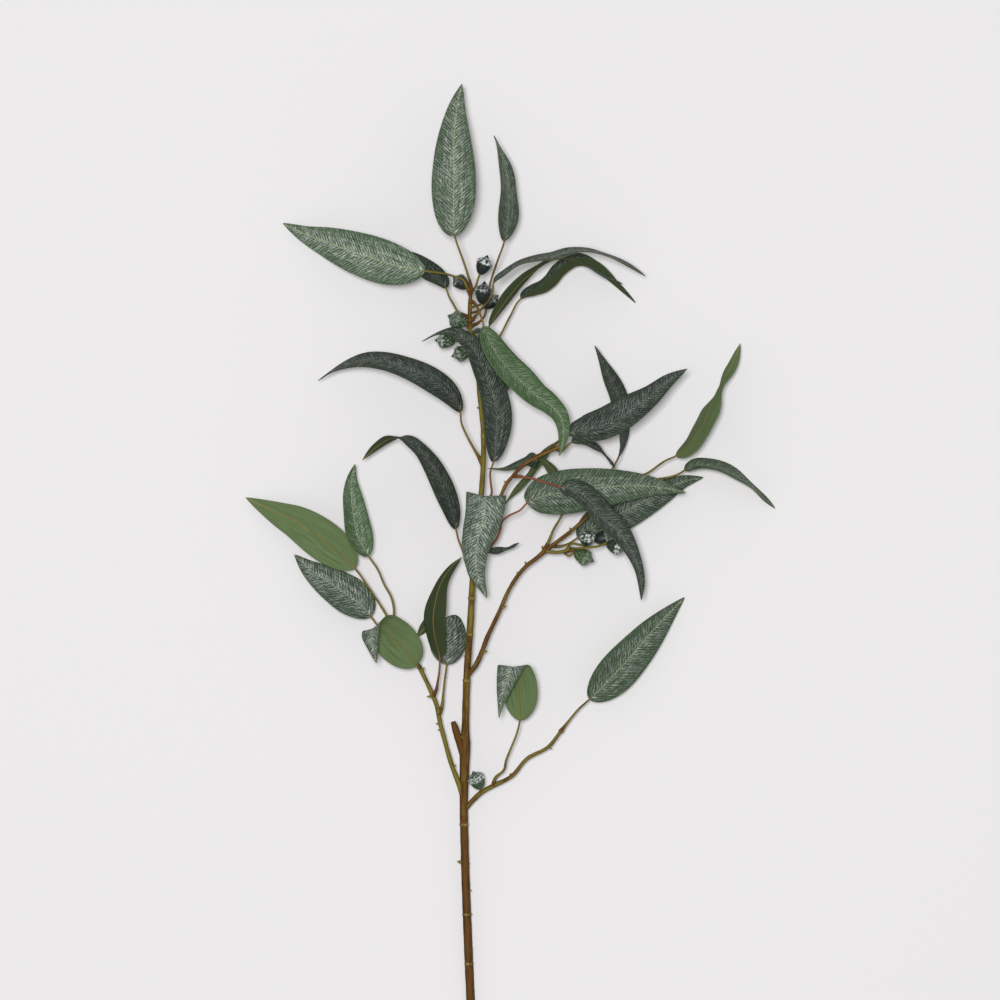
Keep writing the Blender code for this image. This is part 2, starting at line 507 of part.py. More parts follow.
def make_collection(name):
    collection = bpy.data.collections.new(name)
    bpy.context.scene.collection.children.link(collection)
    return collection


def make_material(name, colour, roughness):
    material = bpy.data.materials.new(name)
    material.use_nodes = True
    shader = material.node_tree.nodes["Principled BSDF"]
    shader.inputs["Base Color"].default_value = (*colour, 1.0)
    shader.inputs["Roughness"].default_value = roughness
    shader.inputs["Metallic"].default_value = 0.0
    return material


def plain_mesh(item):
    """The mesh of an object as its modifiers leave it, with its seams welded."""
    graph = bpy.context.evaluated_depsgraph_get()
    mesh = bpy.data.meshes.new_from_object(item.evaluated_get(graph))
    surface = bmesh.new()
    surface.from_mesh(mesh)
    bmesh.ops.remove_doubles(surface, verts=surface.verts, dist=WELD_DISTANCE * MM)
    surface.to_mesh(mesh)
    surface.free()
    return mesh


def tube(name, points, radii, sides, collection):
    """A tapered round rod through points, with flat ends, as a mesh object."""
    curve = bpy.data.curves.new(name, "CURVE")
    curve.dimensions = "3D"
    curve.bevel_depth = MM
    curve.bevel_resolution = (sides - 4) // 2
    curve.use_fill_caps = True
    line = curve.splines.new("POLY")
    line.points.add(len(points) - 1)
    for knot, point, radius in zip(line.points, points, radii):
        knot.co = (*to_world(point), 1.0)
        knot.radius = radius
    rod = bpy.data.objects.new(name + "_line", curve)
    collection.objects.link(rod)
    mesh = plain_mesh(rod)
    bpy.data.objects.remove(rod)
    bpy.data.curves.remove(curve)
    item = bpy.data.objects.new(name, mesh)
    collection.objects.link(item)
    return item


def fuse(body, extras, workshop):
    """One solid of a body and what grows on it."""
    group = bpy.data.collections.new(body.name + "_extras")
    workshop.children.link(group)
    for extra in extras:
        workshop.objects.unlink(extra)
        group.objects.link(extra)
    union = body.modifiers.new("Union", "BOOLEAN")
    union.operation = "UNION"
    union.operand_type = "COLLECTION"
    union.collection = group
    union.solver = "EXACT"
    mesh = plain_mesh(body)
    body.modifiers.remove(union)
    body.data = mesh
    for extra in extras:
        bpy.data.objects.remove(extra)
    bpy.data.collections.remove(group)


def finish(body, material, parts):
    """Names the piece's material, shades it round and files it with the parts."""
    body.data.materials.clear()
    body.data.materials.append(material)
    body.data.shade_smooth()
    body.data.set_sharp_from_angle(angle=math.radians(SHARP_EDGE))
    for collection in list(body.users_collection):
        collection.objects.unlink(body)
    parts.objects.link(body)


def ring_swelling(distance, rings):
    """Extra radius of the pale rings that circle the stem."""
    for place, height in rings:
        if abs(distance - place) < (RING_HALF_WIDTH + RING_SHOULDER) / 2:
            return height
    return 0.0


def wood_rod(name, table, sides, rings, workshop):
    """A stem or branch whose radius follows its table, with rings on it."""
    route = Route([row[:3] for row in table])
    stops = [route.distance_of(index) for index in range(len(table))]
    count = max(2, round(route.length / KNOT_SPACING))
    distances = [route.length * index / count for index in range(count + 1)]
    distances.append(SQUARE_CUT)
    for place, _ in rings:
        distances = [value for value in distances if abs(value - place) > RING_CLEAR]
        distances += [place - RING_SHOULDER, place - RING_HALF_WIDTH]
        distances += [place + RING_HALF_WIDTH, place + RING_SHOULDER]
    distances.sort()
    points = []
    radii = []
    for distance in distances:
        index = 0
        while index < len(stops) - 2 and stops[index + 1] < distance:
            index += 1
        share = (distance - stops[index]) / (stops[index + 1] - stops[index])
        radius = table[index][3] + (table[index + 1][3] - table[index][3]) * share
        points.append(route.at(distance))
        radii.append(radius + ring_swelling(distance, rings))
    return tube(name, points, radii, sides, workshop)


def bud(name, row, workshop):
    """A small blunt bud that leans out of the wood."""
    root, lean, length, radius = row
    lean = Vector(lean).normalized()
    root = Vector(root)
    points = [root, root + lean * length * BUD_MIDDLE, root + lean * length]
    return tube(name, points, [radius * share for share in BUD_RADIUSES], BUD_SIDES, workshop)


def wood_line(table):
    """Closely spaced points along the middle of the wood, with its radius there."""
    route = Route([row[:3] for row in table])
    line = []
    for index, point in enumerate(route.points):
        number = min(index // SPAN_SAMPLES, len(table) - 2)
        share = index / SPAN_SAMPLES - number
        radius = table[number][3] + (table[number + 1][3] - table[number][3]) * share
        line.append((point, radius))
    return line


def spur_length(line, route, foot_radius):
    """How far along its route a stalk has come clear of the wood it grows from."""
    distance = 1.0
    while distance < route.length / 2:
        place = route.at(distance)
        clearance = min((place - point).length - radius for point, radius in line)
        if clearance > foot_radius + SPUR_CLEARANCE:
            break
        distance += SPUR_STEP
    return distance


def spur(name, route, length, radius, workshop):
    """The short foot on the wood that a stalk grows from."""
    points = [route.at(0.0), route.at(length - SQUARE_CUT), route.at(length)]
    return tube(name, points, [radius * SPUR_SWELLING, radius, radius], STALK_SIDES, workshop)


def blade_half_width(leaf, u):
    """Lance outline: a wedge at the base, full below the middle, then a long point."""
    peak = leaf.get("peak", 0.32)
    bend = math.log(0.5) / math.log(peak)
    wave = math.sin(math.pi * min(u, 1.0) ** bend)
    power = BASE_TAPER if u < peak else TIP_TAPER
    return leaf["width"] / 2 * max(wave, 0.0) ** power


def blade_frames(route, start, leaf, count):
    """Points, side and face directions along the rib, carried without spin."""
    steps = count * SIDE_STEPS_PER_STATION
    length = route.length - start
    heading = route.heading(start)
    face = Vector((0, 0, 1))
    face = (face - heading * face.dot(heading)).normalized()
    frames = []
    for step in range(steps + 1):
        distance = start + length * step / steps
        next_heading = route.heading(distance)
        turn = heading.rotation_difference(next_heading)
        face = turn @ face
        face = (face - next_heading * face.dot(next_heading)).normalized()
        heading = next_heading
        if step % 8 == 0:
            u = step / steps
            roll = Quaternion(heading, math.radians(spread(leaf["roll"], u)))
            rolled = roll @ face
            side = heading.cross(rolled).normalized()
            frames.append((route.at(distance), side, rolled))
    return frames


def blade(leaf, route, start, workshop):
    """The thin leaf blade: an open grid bent along the rib, then thickened."""
    stations = leaf.get("stations", BLADE_STATIONS)
    frames = blade_frames(route, start, leaf, stations)
    fold = math.radians(leaf["fold"])
    surface = bmesh.new()
    bmesh.ops.create_grid(
        surface, x_segments=stations, y_segments=BLADE_STRIPS_ACROSS, size=1.0)
    for vertex in surface.verts:
        u = (vertex.co.x + 1) / 2
        v = vertex.co.y
        place, side, face = frames[round(u * stations)]
        half = blade_half_width(leaf, u) + BLADE_BASE_HALF_WIDTH * (1 - u) ** 6
        across = v * half * math.cos(fold)
        lift = abs(v) * half * math.sin(fold)
        vertex.co = to_world(place + side * across + face * lift)
    bmesh.ops.remove_doubles(surface, verts=surface.verts, dist=BLADE_WELD * MM)
    bmesh.ops.triangulate(surface, faces=surface.faces)
    mesh = bpy.data.meshes.new(leaf["name"])
    surface.to_mesh(mesh)
    surface.free()
    item = bpy.data.objects.new(leaf["name"], mesh)
    workshop.objects.link(item)
    wall = item.modifiers.new("Wall", "SOLIDIFY")
    wall.thickness = BLADE_THICKNESS * MM
    wall.offset = 0.0
    item.data = plain_mesh(item)
    item.modifiers.clear()
    return item


def leaf_stalk(leaf, route, start, end, workshop):
    """The stalk, thick at its foot, running a little way into the blade."""
    last = end + STALK_INTO_BLADE
    square = start + SQUARE_CUT
    places = [start, square, start + STALK_FOOT_LENGTH * 0.75, start + STALK_FOOT_LENGTH]
    if end - start < STALK_FOOT_LENGTH * 1.4:
        places = [start, square, start + (end - start) * 0.5]
    steps = max(1, round((end - places[-1]) / STALK_KNOT_SPACING))
    first = places[-1]
    for step in range(1, steps + 1):
        places.append(first + (end - first) * step / steps)
    places.append(last)
    radii = []
    for place in places:
        share = (place - start) / (last - start)
        radius = STALK_RADIUS * (STALK_TAPER[0] - STALK_TAPER[1] * share)
        if place - start < STALK_FOOT_LENGTH * 0.8:
            radius = STALK_FOOT_RADIUS - STALK_FOOT_TAPER * (place - start) / STALK_FOOT_LENGTH
        radii.append(radius)
    radii[-1] = STALK_RADIUS * STALK_END_SHARE
    points = [route.at(place) for place in places]
    return tube(leaf["name"] + "_stalk", points, radii, STALK_SIDES, workshop)


def gumnut(nut, workshop):
    """A ribbed nut turned from its outline, beak forward."""
    radius = GUMNUT_RADIUS * nut["size"]
    surface = bmesh.new()
    knots = [surface.verts.new((share * radius, 0, height * radius))
             for share, height in GUMNUT_OUTLINE]
    for before, after in zip(knots, knots[1:]):
        surface.edges.new((before, after))
    bmesh.ops.spin(
        surface, geom=surface.verts[:] + surface.edges[:], axis=(0, 0, 1), cent=(0, 0, 0),
        steps=GUMNUT_SIDES, angle=math.tau)
    bmesh.ops.remove_doubles(surface, verts=surface.verts, dist=NUT_WELD)
    for vertex in surface.verts:
        number = round(math.atan2(vertex.co.y, vertex.co.x) / math.tau * GUMNUT_SIDES)
        reach = math.hypot(vertex.co.x, vertex.co.y) / radius
        ridge = 1 + GUMNUT_RIB_DEPTH * reach * (1 if number % 2 else -1)
        vertex.co.x *= ridge
        vertex.co.y *= ridge
    bmesh.ops.recalc_face_normals(surface, faces=surface.faces)
    bmesh.ops.triangulate(surface, faces=surface.faces)
    turn = Vector((0, 0, 1)).rotation_difference(Vector(nut["point"]).normalized())
    heart = Vector(nut["heart"])
    for vertex in surface.verts:
        vertex.co = to_world(heart + turn @ vertex.co)
    mesh = bpy.data.meshes.new(nut["name"])
    surface.to_mesh(mesh)
    surface.free()
    item = bpy.data.objects.new(nut["name"], mesh)
    workshop.objects.link(item)
    return item


def gumnut_route(nut):
    """From the wood, through the stalk's points, into the nut's foot."""
    radius = GUMNUT_RADIUS * nut["size"]
    point = Vector(nut["point"]).normalized()
    heart = Vector(nut["heart"])
    foot = heart - point * radius * NUT_FOOT
    inside = heart - point * radius * NUT_STALK_END
    return Route([*nut["stalk"], foot, inside])


def gumnut_stalk(nut, route, start, workshop):
    steps = max(2, round((route.length - start) / NUT_STALK_SPACING))
    places = [start + (route.length - start) * step / steps for step in range(steps + 1)]
    places.insert(1, start + SQUARE_CUT)
    points = [route.at(place) for place in places]
    radii = [GUMNUT_STALK_RADIUS] * len(points)
    return tube(nut["name"] + "_stalk", points, radii, STALK_SIDES, workshop)


def flat_under_the_cut_end(workshop):
    """The block whose top is the surface that the branch lies on."""
    mesh = bpy.data.meshes.new("surface_cutter")
    block = bmesh.new()
    bmesh.ops.create_cube(block, size=1.0)
    end = to_world(MAIN_STEM[0][:3])
    size = CUTTER_SIZE * MM
    for vertex in block.verts:
        vertex.co = (
            end.x + vertex.co.x * size.x,
            end.y + vertex.co.y * size.y,
            (vertex.co.z - 0.5) * size.z,
        )
    block.to_mesh(mesh)
    block.free()
    item = bpy.data.objects.new("surface_cutter", mesh)
    workshop.objects.link(item)
    item.hide_render = True
    item.display_type = "WIRE"
    return item


def shave_flat(stem, cutter):
    shave = stem.modifiers.new("Flat", "BOOLEAN")
    shave.operation = "DIFFERENCE"
    shave.object = cutter
    shave.solver = "EXACT"
    mesh = plain_mesh(stem)
    stem.modifiers.remove(shave)
    stem.data = mesh
    bpy.data.objects.remove(cutter)


WOOD = {
    "main_stem": (MAIN_STEM, MAIN_STEM_BUDS),
    "lower_left_branch": (LOWER_LEFT_BRANCH, LOWER_LEFT_BUDS),
    "lower_right_branch": (LOWER_RIGHT_BRANCH, LOWER_RIGHT_BUDS),
    "middle_right_branch": (MIDDLE_RIGHT_BRANCH, MIDDLE_RIGHT_BUDS),
    "upper_right_twig": (UPPER_RIGHT_TWIG, UPPER_RIGHT_BUDS),
}


def branch_beyond_its_spur(table, start):
    """A branch's table from the place where its spur on the main stem ends."""
    route = Route([row[:3] for row in table])
    straight = start + 2 * SQUARE_CUT
    beyond = [(*route.at(start), table[0][3]), (*route.at(straight), table[0][3])]
    for number, row in enumerate(table):
        if route.distance_of(number) > straight + SQUARE_CUT:
            beyond.append(row)
    return beyond


def main():
    clear_scene()
    parts = make_collection("eucalyptus_branch")
    workshop = make_collection("cutters")
    leaf_green = make_material("leaf_green", (0.045, 0.088, 0.052), 0.6)
    bark_brown = make_material("bark_brown", (0.2, 0.115, 0.035), 0.7)
    twig_olive = make_material("twig_olive", (0.24, 0.2, 0.06), 0.65)
    nut_green = make_material("nut_green", (0.04, 0.065, 0.035), 0.6)

    lines = {name: wood_line(table) for name, (table, _) in WOOD.items()}
    lines["middle_right_branch"] += wood_line(GUMNUT_SPUR)
    extras = {name: [] for name in WOOD}
    for name, (_, rows) in WOOD.items():
        for number, row in enumerate(rows, 1):
            extras[name].append(bud(f"{name}_bud_{number}", row, workshop))
    extras["main_stem"].append(wood_rod("cut_stub", CUT_STUB, TWIG_SIDES, [], workshop))
    extras["middle_right_branch"].append(
        wood_rod("gumnut_spur", GUMNUT_SPUR, TWIG_SIDES, [], workshop))

    for leaf in LEAVES:
        route = Route(leaf["stalk"] + leaf["rib"])
        base = route.distance_of(len(leaf["stalk"]))
        foot = spur_length(lines[leaf["wood"]], route, STALK_FOOT_RADIUS)
        extras[leaf["wood"]].append(
            spur(leaf["name"] + "_spur", route, foot, STALK_FOOT_RADIUS, workshop))
        body = blade(leaf, route, base, workshop)
        stalk = leaf_stalk(leaf, route, foot + SEAT_GAP, base, workshop)
        fuse(body, [stalk], workshop)
        finish(body, leaf_green, parts)

    for nut in GUMNUTS:
        route = gumnut_route(nut)
        foot = spur_length(lines[nut["wood"]], route, GUMNUT_STALK_RADIUS)
        extras[nut["wood"]].append(
            spur(nut["name"] + "_spur", route, foot, GUMNUT_STALK_RADIUS, workshop))
        body = gumnut(nut, workshop)
        stalk = gumnut_stalk(nut, route, foot + SEAT_GAP, workshop)
        fuse(body, [stalk], workshop)
        finish(body, nut_green, parts)

    for name, (table, _) in WOOD.items():
        if name == "main_stem":
            continue
        route = Route([row[:3] for row in table])
        foot = spur_length(lines["main_stem"], route, table[0][3])
        extras["main_stem"].append(spur(name + "_spur", route, foot, table[0][3], workshop))
        beyond = branch_beyond_its_spur(table, foot + SEAT_GAP)
        body = wood_rod(name, beyond, TWIG_SIDES, [], workshop)
        fuse(body, extras[name], workshop)
        finish(body, twig_olive, parts)

    stem = wood_rod("main_stem", MAIN_STEM, STEM_SIDES, MAIN_STEM_RINGS, workshop)
    fuse(stem, extras["main_stem"], workshop)
    shave_flat(stem, flat_under_the_cut_end(workshop))
    finish(stem, bark_brown, parts)


main()
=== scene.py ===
"""Looks of the cut eucalyptus branch: leaves, gumnuts, wood, floor, light and camera.

Lengths in the tables are millimetres, as in the part's own source.
"""

import functools
import math

import bpy
import numpy as np
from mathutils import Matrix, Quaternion, Vector


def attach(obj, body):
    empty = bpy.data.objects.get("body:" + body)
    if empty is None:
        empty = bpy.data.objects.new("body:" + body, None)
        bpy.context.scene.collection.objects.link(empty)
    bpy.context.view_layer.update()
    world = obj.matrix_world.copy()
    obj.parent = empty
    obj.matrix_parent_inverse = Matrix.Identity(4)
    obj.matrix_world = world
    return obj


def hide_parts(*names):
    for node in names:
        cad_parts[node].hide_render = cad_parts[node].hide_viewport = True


bl_info = {
    "name": "Eucalyptus branch",
    "version": (1, 0, 0),
    "blender": (4, 5, 0),
    "location": "3D View > Sidebar > Branch",
    "description": "Grows the leaves, gumnuts and wood of a cut eucalyptus branch",
    "category": "Add Mesh",
}

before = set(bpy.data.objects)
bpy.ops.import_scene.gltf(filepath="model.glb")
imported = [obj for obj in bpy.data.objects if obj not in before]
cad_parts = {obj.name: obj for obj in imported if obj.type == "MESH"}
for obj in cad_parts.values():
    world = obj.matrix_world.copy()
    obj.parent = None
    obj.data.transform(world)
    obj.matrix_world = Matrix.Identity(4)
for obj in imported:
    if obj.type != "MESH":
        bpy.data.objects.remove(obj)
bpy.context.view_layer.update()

MM = 0.001

# The middle of the branch's box, in the tables' coordinates
TABLE_CENTRE = Vector((9.7, -69.97, 0.0))

# Routes: samples in a span, and how far to either side a heading is read
SPAN_SAMPLES = 16
HEADING_STEP = 0.4

# A spur ends where its stalk comes clear of the wood
SPUR_SHORTEST = 1.0
SPUR_STEP = 0.5
SPUR_CLEARANCE = 0.35

STEM_RADIUS_AT_CUT = 3.9
STEM_RADIUS_AT_TIP = 1.7
GUMNUT_RADIUS = 7.3
NUT_FOOT = 1.3
NUT_STALK_END = 0.85

# Blades: lengths in millimetres, tapers and powers as plain numbers
BLADE_PEAK = 0.32
BASE_TAPER = 0.95
TIP_TAPER = 0.84
BASE_FADE = 6
FOLD_ROUNDING = 1.2
WAVE_LAG = 1.3
WAVE_POWER = 2.4
VEIN_SLANT = -0.9
GROOVE_WIDTH = 1.0
BLADE_WELD = 0.02

# The midrib under a blade, which carries the stalk on
RIB_STRIDE = 3
RIB_SINK_STEPS = 4
RIB_DEPTH = 0.35
RIB_CLEARANCE = 0.1
RIB_THICKNESS = 0.45
RIB_TIP_RADIUS = 0.12
RIB_BROWN_FADE = 3
RIB_RED_FADE = 4

# Stalks: how far they start inside their spur, step, and change toward the foot
STALK_SINK = 1.0
STALK_STEP = 2.5
STALK_LEAST_STEPS = 6
STALK_TAPER = 0.3
STALK_SIDES = 10
FOOT_FADE = 7.0
FOOT_BROWN = 0.3
FOOT_PALE = 0.5
NUT_STALK_SINK = 0.8
NUT_STALK_STEP = 1.5
NUT_STALK_LEAST_STEPS = 8
NECK_START = 0.75
NECK_SWELLING = 0.9

# Wood: steps along it, its rings, and its swells as rise, pace and shift from piece to piece
WOOD_STEP = 3.0
RING_STEP = 0.5
RING_STEPS = 5
RING_WIDTH = 1.1
RING_SQUARENESS = 4
RING_PALENESS = 0.7
WOOD_SWELLS = ((0.07, 0.31, 1), (0.05, 0.83, 0))
STEM_SIDES = 24
BRANCH_SIDES = 16
STUB_SIDES = 14
SPUR_SIDES = 12
CUT_STUB_NUMBER = 7
GUMNUT_SPUR_NUMBER = 8

# How far along the bark's pattern each next piece starts
STALK_BARK_SHIFT = 310.0
WOOD_BARK_SHIFT = 530.0
SPUR_BARK_SHIFT = 90.0
NUT_BARK_SHIFT = 170.0

# Spurs: share of the length, swelling, and the bark's brownness, redness and paleness
SPUR_SHAPE = [
    (0.0, 1.5, (0.55, 0.0, 0.0)),
    (0.35, 1.35, (0.55, 0.0, 0.0)),
    (0.7, 1.22, (0.55, 0.0, 0.0)),
    (0.9, 1.18, (0.7, 0.0, 0.15)),
    (1.0, 1.0, (0.7, 0.0, 0.15)),
]

# Buds: a ball whose radius falls from waist to tip
BUD_SEGMENTS = 12
BUD_RINGS = 9
BUD_WAIST = 0.75
BUD_TAPER = -0.3
BUD_FATNESS = 1.35
BUD_BARK_SIZE = 1.2
BUD_TONE = (0.25, 0.0, 0.1)

# How strong the ribs and their frost are, by height in nut radiuses
NUT_RING_HEIGHTS = (-1.4, -0.1, 0.1, 0.28, 0.42, 0.56, 0.68, 0.84, 0.98, 1.3)
NUT_RING_STRENGTHS = (0.0, 0.1, 0.5, 1.0, 0.2, 0.9, 0.15, 0.8, 0.1, 0.0)
NUT_RIB_SHARPNESS = 2.2
NUT_CREST_FROST = 0.6
NUT_WELD = 0.01

# Patterns in the materials: the size of one spot, streak or ring, in millimetres.
# Hairs and specks of wax are finer on a real leaf, and drawn coarse enough to show.
VEIN_WAVER = 4.762
VEIN_GAP = 1.613
HAIR_SPACING = 0.8
HAIR_LENGTH = 4.762
WAX_SPECK = 0.7692
BARE_PATCH = 18.18
UNDER_GRAIN = 1.111
UNDER_PATCH = 16.67
BARK_STREAK = (2.0833, 2.0833, 14.286)
BARK_PATCH = (5.263, 5.263, 31.25)
END_RING = 0.9
NUT_MOTTLE = 2.381
NUT_SPECK = 1.6129
PAPER_GRAIN = 4.1667

# Shares and powers in the materials
VEIN_WANDER = 0.5
VEIN_SILVER = 0.75
SILVER_VEIL = 0.04
HALVES_APART = 7.3
MIDRIB_PALENESS = 0.75
MIDRIB_LOSS = 0.7
UNDER_VEIN_PALENESS = 0.06
# Painted shade on round wood where it turns away from the view: its power and strength
TURNED_POWER = 1.3
TURNED_SHADE = 0.9
NUT_MOTTLING = 0.5

# The stage, in metres
KEY_LIGHT_PLACE = (-0.3, 0.3, 6.8)
KEY_LIGHT_SIZE = 0.9
SENSOR_WIDTH_MM = 36.0
SIGHT_END = 40.0

# Wood, from root to tip: x, y, height, radius
MAIN_STEM = [
    (-25, -515, 3.5, STEM_RADIUS_AT_CUT),
    (-26, -472, 3.5, 3.9),
    (-28.8, -405, 7, 3.9),
    (-30.6, -360, 10.5, 3.8),
    (-32, -315, 14, 3.7),
    (-32.8, -270, 17.5, 3.7),
    (-32.2, -244, 19.6, 4.3),
    (-31.9, -230, 20.7, 4.7),
    (-31.6, -219, 21.5, 4.9),
    (-31.4, -210, 22.2, 3.6),
    (-31.2, -200, 23, 3.3),
    (-30, -160, 26.8, 3.1),
    (-26.6, -108, 31, 3.0),
    (-24.3, -67, 34, 2.7),
    (-20.7, -27, 37, 2.5),
    (-16.8, 7, 39.5, 2.4),
    (-15.3, 30, 41.3, 2.3),
    (-15.3, 63, 43.2, 2.1),
    (-18, 90, 45, 2.0),
    (-22.3, 132, 48.4, 1.9),
    (-26.8, 153, 50, 1.8),
    (-27, 176, 52.7, 1.8),
    (-26.1, 189, 54, STEM_RADIUS_AT_TIP),
]
LOWER_LEFT_BRANCH = [
    (-32.8, -272, 17.4, 2.3),
    (-37.5, -256, 19.5, 2.3),
    (-43.2, -241, 21, 2.1),
    (-50.4, -216, 22.5, 2.0),
    (-54, -202, 23, 2.0),
    (-57.6, -184.5, 24, 2.0),
    (-60.5, -177, 24.5, 2.1),
    (-67.5, -162, 25, 1.8),
    (-72.9, -151, 25, 1.9),
    (-82, -137, 24.5, 1.5),
    (-91.8, -122.4, 24, 1.4),
]
LOWER_RIGHT_BRANCH = [
    (-32.6, -281, 16.7, 2.2),
    (-24, -271, 17.6, 2.2),
    (-17.1, -264.6, 18.2, 2.2),
    (-5.9, -258.3, 19, 2.1),
    (9.9, -250.2, 20, 1.8),
    (24.3, -234, 21, 1.7),
    (44.1, -222.8, 21.6, 1.6),
    (54.5, -209.7, 22, 1.6),
]
MIDDLE_RIGHT_BRANCH = [
    (-29.2, -158.4, 26.9, 2.3),
    (-22.5, -150, 28.4, 2.3),
    (-16, -136, 29.4, 2.1),
    (-11.7, -124.2, 30, 2.0),
    (-5.4, -110.7, 30.8, 1.8),
    (0.5, -98.1, 31.3, 1.8),
    (9, -79.2, 32, 1.7),
    (24.3, -59, 32, 1.8),
    (33.3, -52.2, 32, 1.9),
    (39.6, -46.8, 32, 2.3),
    (45.9, -41.9, 32, 1.8),
    (64.4, -27.9, 31.5, 1.7),
    (81, -13, 30.5, 1.5),
    (95.4, 0, 29.6, 1.5),
    (105.3, 9, 29, 1.4),
]
UPPER_RIGHT_TWIG = [
    (-22.6, -52, 35.2, 1.9),
    (-16, -37, 37, 1.8),
    (-10, -20, 38.5, 1.7),
    (0, 1.8, 42, 1.7),
    (6.3, 15.3, 44, 1.6),
    (11.7, 21.6, 45.5, 1.7),
    (16.2, 27, 46.5, 1.6),
    (31.5, 38.3, 49, 1.6),
    (42.3, 43.2, 50.3, 1.8),
    (50.4, 46.4, 51, 1.5),
    (55.8, 48.6, 51.5, 1.4),
]
GUMNUT_SPUR = [
    (40.5, -46, 32, 1.7),
    (50.4, -47.2, 33.5, 1.6),
    (58.5, -46, 34, 1.5),
    (63, -43.6, 34.5, 1.4),
]
CUT_STUB = [
    (-33, -231, 21, 3.3),
    (-37.5, -216, 24.5, 3.4),
    (-40.5, -206, 27, 3.1),
    (-42.3, -200.5, 28.4, 2.3),
]

# Pale rings and swollen joints: distance along the main stem, extra radius
MAIN_STEM_RINGS = [
    (50, 0.5), (95, 0.35), (140, 0.45), (222, 0.5), (353, 0.45), (395, 0.4),
    (428, 0.4), (520, 0.35), (575, 0.35),
]

# Buds on the wood: root point, then the way that it leans and its length
MAIN_STEM_BUDS = [
    ((-31.6, -328, 13), (-1, 0.1, 0.2), 7.5, 1.7),
    ((-31.6, -330, 13), (1, 0.2, 0.3), 5.0, 1.0),
    ((-30.8, -354, 11), (1, 0.1, 0.4), 5.6, 1.2),
    ((-30.2, -376, 9.4), (1, 0.2, 0.5), 5.8, 1.3),
    ((-31.6, -218, 21.5), (-0.6, 0.7, 0.7), 9.5, 1.5),
    ((-28.8, -142, 28), (-1, 0.3, 0.4), 4.8, 1.1),
    ((-28.6, -140, 28), (1, 0.5, 0.5), 4.6, 1.0),
    ((-25.3, -90, 32.2), (-1, 0.3, 0.4), 4.2, 0.9),
    ((-15.3, 36, 41.6), (-1, 0.4, 0.3), 4.2, 0.9),
    ((-17.6, 82, 44.4), (-1, 0.5, 0.2), 4.0, 0.9),
    ((-20.6, 115, 47), (-1, 0.5, 0.2), 4.2, 0.9),
]
LOWER_LEFT_BUDS = [
    ((-43.2, -241, 21), (1, 0.4, 0.4), 4.4, 0.9),
    ((-54, -203, 23), (-1, 0.3, 0.3), 4.6, 0.9),
    ((-53, -208, 23), (-1, 0.1, 0.2), 3.8, 0.8),
    ((-60.5, -177, 24.5), (-1, -0.15, 0.2), 6.0, 1.2),
    ((-71.5, -153.5, 25), (1, 0.5, 0.2), 4.2, 1.0),
]
LOWER_RIGHT_BUDS = [
    ((9.9, -250.2, 20), (-0.2, 1, 0.4), 3.8, 0.9),
    ((44.1, -222.8, 21.6), (0.7, -0.7, 0.3), 3.8, 0.9),
]
MIDDLE_RIGHT_BUDS = [
    ((-16.5, -137, 29.4), (1, 0.1, 0.3), 5.6, 1.2),
    ((0.8, -97.5, 31.3), (1, 0.4, 0.3), 5.6, 1.2),
    ((17, -68, 32), (-0.5, 0.9, 0.3), 4.2, 0.9),
    ((24, -59.2, 32), (-0.4, 1, 0.3), 4.4, 0.9),
    ((39.6, -46.8, 32), (-0.3, 1, 0.2), 6.2, 1.2),
    ((64.4, -27.9, 31.5), (-0.5, 1, 0.2), 3.8, 0.9),
]
UPPER_RIGHT_BUDS = [
    ((6.3, 15.3, 44), (-1, 0.6, 0.2), 3.6, 0.8),
    ((31.5, 38.3, 49), (0.5, -1, 0.2), 3.4, 0.8),
]

# Each piece of wood: its table, its buds, and its bark's brownness and redness
# evenly spread from root to tip
WOOD = {
    "main_stem": (MAIN_STEM, MAIN_STEM_BUDS,
                  [(0.78, 0), (0.72, 0), (0.66, 0), (0.55, 0), (0.42, 0), (0.38, 0), (0.5, 0)]),
    "lower_left_branch": (LOWER_LEFT_BRANCH, LOWER_LEFT_BUDS, [(0.1, 0), (0.05, 0), (0.0, 0)]),
    "lower_right_branch": (LOWER_RIGHT_BRANCH, LOWER_RIGHT_BUDS, [(0.6, 0), (0.4, 0), (0.2, 0)]),
    "middle_right_branch": (MIDDLE_RIGHT_BRANCH, MIDDLE_RIGHT_BUDS,
                            [(0.6, 0), (0.5, 0.05), (0.6, 0.1), (0.4, 0)]),
    "upper_right_twig": (UPPER_RIGHT_TWIG, UPPER_RIGHT_BUDS, [(0.45, 0.2), (0.5, 0.2)]),
}

STUB_TONES = [(0.85, 0), (1.0, 0)]
GUMNUT_SPUR_TONES = [(0.2, 0), (0.15, 0)]

